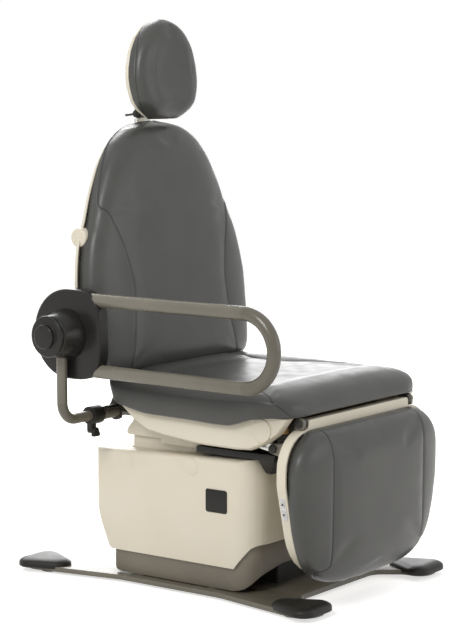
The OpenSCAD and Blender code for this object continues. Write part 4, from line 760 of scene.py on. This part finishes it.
sections = []
leg_tall = LEG_HIGH - LEG_LOW
for up, half, thick, seam in smooth_rows(leg_table, (leg_tall, LEG_WIDTH / 2, LEG_THICK, 1), LEG_ROWS):
    sections.append((LEG_WIDTH / 2 * half - SLACK_SIDE, LEG_THICK * thick - SLACK_FACE, LEG_CROWN * thick,
                     seam * LEG_WIDTH / 2, SEAM_DIP * thick, 0, LEG_LOW + up * leg_tall))
leg, leg_seams = cushion("leg_rest_pad", sections, leg_place, LEG_SOFT)
attach(leg, "leg_rest", "upholstery", "legrest_cushion")

# %% [markdown]
# ## Rounded edges on the hard parts
# No moulding or pressed plate has a knife edge: each one ends in a small radius that catches a line of light.
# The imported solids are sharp. The bevel tool can round a copy of each, once its loose triangles are joined
# and its flat faces made whole. Moulded covers take a wide radius, and cut or turned steel a fine one.

# %% Round the edges
FLAT, CORNER, SMOOTH_UNDER = math.radians(0.6), math.radians(34), math.radians(32)
WELD = 0.004 * MM
LEAST_LEFT, MOST_LEFT = 0.93, 1.002


def closed_volume(work):
    """The volume of a closed mesh, or nothing if one of its edges is open."""
    return work.calc_volume() if all(e.is_manifold for e in work.edges) else None


def softened(name, width, steps):
    """A piece with the shape of a node and its corners rounded by width millimetres. Where the rounding
    would break the shape, the piece keeps its corners."""
    work = bmesh.new()
    work.from_mesh(nodes[name].data)
    bmesh.ops.remove_doubles(work, verts=work.verts, dist=WELD)
    bmesh.ops.recalc_face_normals(work, faces=work.faces)
    plain = closed_volume(work)
    whole = work.copy()
    bmesh.ops.dissolve_limit(work, angle_limit=FLAT, verts=work.verts, edges=work.edges)
    corners = [e for e in work.edges if e.is_manifold and e.calc_face_angle(0) > CORNER]
    bmesh.ops.bevel(work, geom=corners, offset=width * MM, offset_type="OFFSET", segments=steps,
                    profile=0.5, affect="EDGES", clamp_overlap=True)
    bmesh.ops.triangulate(work, faces=[f for f in work.faces if len(f.verts) > 4])
    now = closed_volume(work)
    kept = bool(plain and now and LEAST_LEFT * plain < now < MOST_LEFT * plain)
    mesh = bpy.data.meshes.new(name + "_body")
    (work if kept else whole).to_mesh(mesh)
    work.free()
    whole.free()
    mesh.shade_smooth()
    mesh.set_sharp_from_angle(angle=SMOOTH_UNDER)
    piece = bpy.data.objects.new(name + "_body", mesh)
    scene.collection.objects.link(piece)
    print(name, "rounded" if kept else "kept sharp", "volume share", now and round(now / plain, 4))
    return attach(piece, body_of(nodes[name])[0], slot_of[name], name)


# For each node, the radius in millimetres and how many flats it is made of
rounding = {
    "base_plate": (1.6, 2), "plinth_cover": (2.0, 3), "base_shroud": (2.5, 3), "shroud_caps": (0.7, 2),
    "badge_plate": (0.7, 2), "middle_shroud": (2.0, 3), "upper_shroud": (2.0, 3), "underseat_pan": (2.5, 3),
    "seat_cover_caps": (1.2, 2), "front_brackets": (0.8, 2), "rear_brackets": (0.8, 2),
    "hinge_pins": (0.8, 2), "arm_receiver": (0.5, 2), "receiver_latch": (1.0, 2), "legrest_frame": (4.0, 3),
    "legrest_lugs": (0.8, 2), "link_bolts": (0.8, 2), "switch_bezel": (0.5, 2), "up_button": (0.6, 2),
    "down_button": (0.6, 2), "legrest_link": (0.8, 2), "back_caps": (3.0, 3), "headrest_bar": (1.0, 2),
    "headrest_knuckle": (0.8, 2), "headrest_lever": (0.8, 2), "arm_collar": (1.5, 3),
    "collar_lever": (1.2, 2), "hub_housing": (1.5, 3), "hub_knob": (2.0, 3), "headrest_shell": (1.5, 2),
    "seat_side_covers": (1.5, 2)}
for name, (width, steps) in rounding.items():
    softened(name, width, steps)

# %% [markdown]
# ## The shell of the back
# Behind the back cushion is a shallow moulded tray, which shows from the front as a thin line down each side.
# It could be the solid's own mesh, but its walls would show their flats from behind. A loft of the same rows
# as the cushion gives a smooth skin, and a Solidify modifier gives it the 4 mm wall of a moulding.

# %% Make the back shell
SHELL_DEPTH, SHELL_WALL, SHELL_HALF, SHELL_SOFT = 30, 4, 313, 0.72
SHELL_TURNS, SHELL_ROWS = 34, 60
SHELL_LOW, SHELL_TALL = 38, 590
# The tray stands out at the foot, draws in over its upper half, and gets shallower towards its top
SHELL_OUT, SHELL_TAPER, SHELL_THIN, THIN_FROM = 4, 9, 0.35, 0.55


def shell_grid(rows, deep, place):
    """Points and faces of a skin with an open front, from rows of (half width, depth share, station)."""
    points, faces = [], []
    for half, share, station in rows:
        for i in range(SHELL_TURNS + 1):
            angle = math.pi * i / SHELL_TURNS
            c, s = math.cos(angle), math.sin(angle)
            x = half * math.copysign(abs(c) ** SHELL_SOFT, c)
            points.append(place(x, -deep * share * s ** SHELL_SOFT, station))
    wide = SHELL_TURNS + 1
    for r in range(len(rows) - 1):
        for i in range(SHELL_TURNS):
            faces.append((r * wide + i, r * wide + i + 1, (r + 1) * wide + i + 1, (r + 1) * wide + i))
    for r in (0, len(rows) - 1):
        faces.append(range(r * wide, (r + 1) * wide))
    return points, faces


shell_rows = []
for up, half, thick, _ in smooth_rows(back_table, (back_tall, SHELL_HALF, BACK_THICK, 1), SHELL_ROWS):
    grow = SHELL_OUT - SHELL_TAPER * max(0, 2 * up - 1)
    thin = 1 - SHELL_THIN * max(0, up - THIN_FROM) / (1 - THIN_FROM)
    shell_rows.append((SHELL_HALF * half + grow, thick * thin, SHELL_LOW + up * SHELL_TALL))
tray = piece_from("back_tray", *shell_grid(shell_rows, SHELL_DEPTH, back_place), 60)
wall = tray.modifiers.new("wall", "SOLIDIFY")
wall.thickness = SHELL_WALL * MM
wall.offset = -1
attach(settle(tray), "back", "beige_plastic", "back_shell")

# %% [markdown]
# ## The pod on the hub
# The two tubes of the arm loop end in a black moulded pod. Behind the hub it is half round, and ahead of it
# squared off where the tubes leave. A circle joined to a superellipse gives that outline with no break, and
# rings of it, drawn in over a quarter round at each rim, make the body. A smaller round disc closes its back.

# %% Make the hub pod
HUB_AT, ARM_SPLAY = (-395, 202, 617), math.radians(2)
POD_RADIUS, POD_FRONT, POD_SQUARE = 107, 103, 3.6
POD_FACE, POD_THICK, POD_ROUND = 17, 38, 7
DISC_RADIUS, DISC_THICK, DISC_ROUND, DISC_SUNK = 86, 15, 6, 2
POD_TURNS, POD_FINE, RIM_STEPS = 96, 2001, 7
hub_frame = Matrix.Translation(HUB_AT) @ Matrix.Rotation(-ARM_SPLAY, 4, "Z")


def pod_outline():
    """The outline of the pod about the hub, at even steps: a circle behind it, a superellipse ahead."""
    fine = np.linspace(0, 2 * math.pi, POD_FINE)
    c, s = np.cos(fine), np.sin(fine)
    power = np.where(c < 0, 2 / POD_SQUARE, 1)
    y = np.sign(c) * abs(c) ** power * np.where(c < 0, POD_FRONT, POD_RADIUS)
    z = np.sign(s) * abs(s) ** power * POD_RADIUS
    run = np.concatenate([[0], np.cumsum(np.hypot(np.diff(y), np.diff(z)))])
    even = np.linspace(0, run[-1], POD_TURNS, endpoint=False)
    return np.interp(even, run, y), np.interp(even, run, z)


def disc_outline():
    angle = np.arange(POD_TURNS) * 2 * math.pi / POD_TURNS
    return DISC_RADIUS * np.cos(angle), DISC_RADIUS * np.sin(angle)


def rim(start, thick, radius, round_face):
    """(x, draw-in) along the side of a disc, with a quarter round at its back and, if asked, at its face."""
    turn = np.linspace(0, math.pi / 2, RIM_STEPS)
    curve = [(radius * (1 - math.cos(t)), radius * (1 - math.sin(t))) for t in turn]
    face = [(start + x, inset) for x, inset in curve] if round_face else [(start, 0)]
    return face + [(start + thick - x, inset) for x, inset in curve[::-1]]


def stacked(start, rings, around):
    """Faces of a closed stack of rings of points, the first of which begins at start."""
    faces = []
    for r in range(rings - 1):
        low, high = start + r * around, start + (r + 1) * around
        faces += [(low + i, low + (i + 1) % around, high + (i + 1) % around, high + i) for i in range(around)]
    return faces + [range(start, start + around), range(start + (rings - 1) * around, start + rings * around)]


points, faces = [], []
for (ys, zs), levels in (
        (pod_outline(), rim(POD_FACE, POD_THICK, POD_ROUND, True)),
        (disc_outline(), rim(POD_FACE + POD_THICK - DISC_SUNK, DISC_THICK + DISC_SUNK, DISC_ROUND, False))):
    faces += stacked(len(points), len(levels), POD_TURNS)
    for x, inset in levels:
        share = 1 - inset / POD_RADIUS
        points += [tuple(hub_frame @ Matrix.Translation((x, y * share, z * share)).to_translation())
                   for y, z in zip(ys, zs)]
attach(piece_from("loop_pod", points, faces, 50), "loop", "black_gloss", "hub_pod")

# %% [markdown]
# ## Corner pads
# A thick moulded pad is pushed over each foot of the plate, to save shins and walls. From above it is a
# triangle with three round ends; from the side it stands up a little and then turns over in a dome. Rings of
# the same round triangle, each drawn in a little more, give both at once.

# %% Make the corner pads
# The middles of the three round ends, their radius, and the draw-in and height of each ring
PAD_ENDS = [(276, 409), (220, 409), (253, 347)]
PAD_RADIUS = 34
PAD_LEVELS = [(3, 11), (0, 13), (0, 20.5), (0.8, 23.5), (3, 26.4), (7, 29), (12, 31), (19, 32.4), (27, 33)]
PAD_TURNS = 48


def pad_ring(inset, height, side, end):
    """One ring of the round triangle, for the foot at side (-1 or 1) and end (-1 front, 1 rear)."""
    ring = []
    radius = PAD_RADIUS - inset
    for i in range(PAD_TURNS):
        angle = 2 * math.pi * (i + 0.5) / PAD_TURNS
        out_x, out_y = math.cos(angle), math.sin(angle)
        x, y = max(PAD_ENDS, key=lambda p: p[0] * out_x + p[1] * out_y)
        ring.append((side * (x + radius * out_x), end * (y + radius * out_y), height))
    return ring


points, faces = [], []
for side in (-1, 1):
    for end in (-1, 1):
        faces += stacked(len(points), len(PAD_LEVELS), PAD_TURNS)
        for inset, height in PAD_LEVELS:
            points += pad_ring(inset, height, side, end)
attach(piece_from("corner_bumpers", points, faces, 50), "base", "black_plastic", "corner_pads")

# %% [markdown]
# ## Stitches along the seams
# Where two panels of vinyl meet, a lockstitch runs beside the seam: a thread about 1 mm thick that dips
# under every 5 mm. Each stitch could be copied by hand, but there are hundreds. Geometry Nodes put one small
# bead of thread at even steps along the line of the seam and turn it to follow the line.

# %% The tree for a row of stitches
BEAD_SIDES, BEAD_RINGS = 6, 4


def stitch_tree():
    tree = bpy.data.node_groups.new("row_of_stitches", "GeometryNodeTree")
    tree.interface.new_socket("Seam", in_out="INPUT", socket_type="NodeSocketGeometry")
    for label in ("Pitch", "Stitch", "Thread"):
        tree.interface.new_socket(label, in_out="INPUT", socket_type="NodeSocketFloat")
    tree.interface.new_socket("Finish", in_out="INPUT", socket_type="NodeSocketMaterial")
    tree.interface.new_socket("Stitches", in_out="OUTPUT", socket_type="NodeSocketGeometry")
    start = add(tree, "NodeGroupInput").outputs
    line = add(tree, "GeometryNodeMeshToCurve", Mesh=start["Seam"])
    even = add(tree, "GeometryNodeResampleCurve", {"mode": "LENGTH"},
               Curve=line.outputs[0], Length=start["Pitch"])
    ahead = add(tree, "GeometryNodeInputTangent")
    turn = add(tree, "FunctionNodeAlignRotationToVector", {"axis": "Z"}, Vector=ahead.outputs[0])
    bead = add(tree, "GeometryNodeMeshUVSphere", Segments=BEAD_SIDES, Rings=BEAD_RINGS, Radius=0.5)
    size = add(tree, "ShaderNodeCombineXYZ", X=start["Thread"], Y=start["Thread"], Z=start["Stitch"])
    row = add(tree, "GeometryNodeInstanceOnPoints", Points=even.outputs[0], Instance=bead.outputs[0],
              Rotation=turn.outputs[0], Scale=size.outputs[0])
    real = add(tree, "GeometryNodeRealizeInstances", Geometry=row.outputs[0])
    done = add(tree, "GeometryNodeSetMaterial", Geometry=real.outputs[0], Material=start["Finish"])
    tree.links.new(done.outputs[0], add(tree, "NodeGroupOutput").inputs["Stitches"])
    return tree


stitching = stitch_tree()
print("inputs", [item.name for item in stitching.interface.items_tree if item.in_out == "INPUT"])

# %% Sew the seams
# Bonded polyester thread, twisted and waxed: nearly matt and a touch lighter than the vinyl in its groove
thread = moulded_plastic("bonded_polyester_thread", "#3A3A38", "#454542", 0.6, 1.0)
STITCH = {"Pitch": 5.2 * MM, "Stitch": 4.2 * MM, "Thread": 1.1 * MM, "Finish": thread}


def sew(name, seams, body):
    """One row of stitches along each seam line, as a plain mesh on one body."""
    points, edges = [], []
    for line in seams:
        edges += [(len(points) + i, len(points) + i + 1) for i in range(len(line) - 1)]
        points += line
    mesh = bpy.data.meshes.new(name)
    mesh.from_pydata(points, edges, [])
    piece = bpy.data.objects.new(name, mesh)
    scene.collection.objects.link(piece)
    rows = piece.modifiers.new("stitches", "NODES")
    rows.node_group = stitching
    for item in stitching.interface.items_tree:
        if item.in_out == "INPUT" and item.name in STITCH:
            rows[item.identifier] = STITCH[item.name]
    settle(piece)
    piece.data.shade_smooth()
    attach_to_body(piece, body)
    print(name, "stitches", len(piece.data.polygons) // (BEAD_SIDES * BEAD_RINGS))


sew("seat_stitches", seat_seams, "seat")
sew("back_stitches", back_seams, "back")
sew("leg_rest_stitches", leg_seams, "leg_rest")

# %% [markdown]
# ## Arrows on the two buttons
# The switch on the edge of the leg rest has one button to raise the chair and one to lower it, each with a
# moulded arrow. An arrow is a flat three-sided chip. The line from one button to the other gives the way up
# along the slanting edge, so the arrows lean with it.

# %% Mark the buttons
ARROW_TIP, ARROW_FOOT, ARROW_HALF, ARROW_SUNK, ARROW_PROUD = 4.2, 3.2, 3.4, 0.2, 0.35


def middle(name):
    low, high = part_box(name)
    return np.array([(a + b) / 2 for a, b in zip(low, high)])


up_way = middle("up_button") - middle("down_button")
up_way /= np.linalg.norm(up_way)
across = np.array([0.0, 1.0, 0.0])
outward = np.cross(up_way, across)
outward *= -math.copysign(1, outward[0])
for name, sign in (("up_button", 1), ("down_button", -1)):
    corners = np.array([v.co[:] for v in nodes[name].data.vertices])
    face = (corners @ outward).max()
    centre = middle(name)
    centre += outward * (face - centre @ outward)
    chip = []
    for lift in (-ARROW_SUNK, ARROW_PROUD):
        for along, wide in ((ARROW_TIP, 0), (-ARROW_FOOT, ARROW_HALF), (-ARROW_FOOT, -ARROW_HALF)):
            chip.append((centre + MM * (sign * along * up_way + wide * across + lift * outward)) / MM)
    arrow = piece_from(name + "_arrow", chip, stacked(0, 2, 3), 20)
    attach(arrow, body_of(nodes[name])[0], "black_plastic")
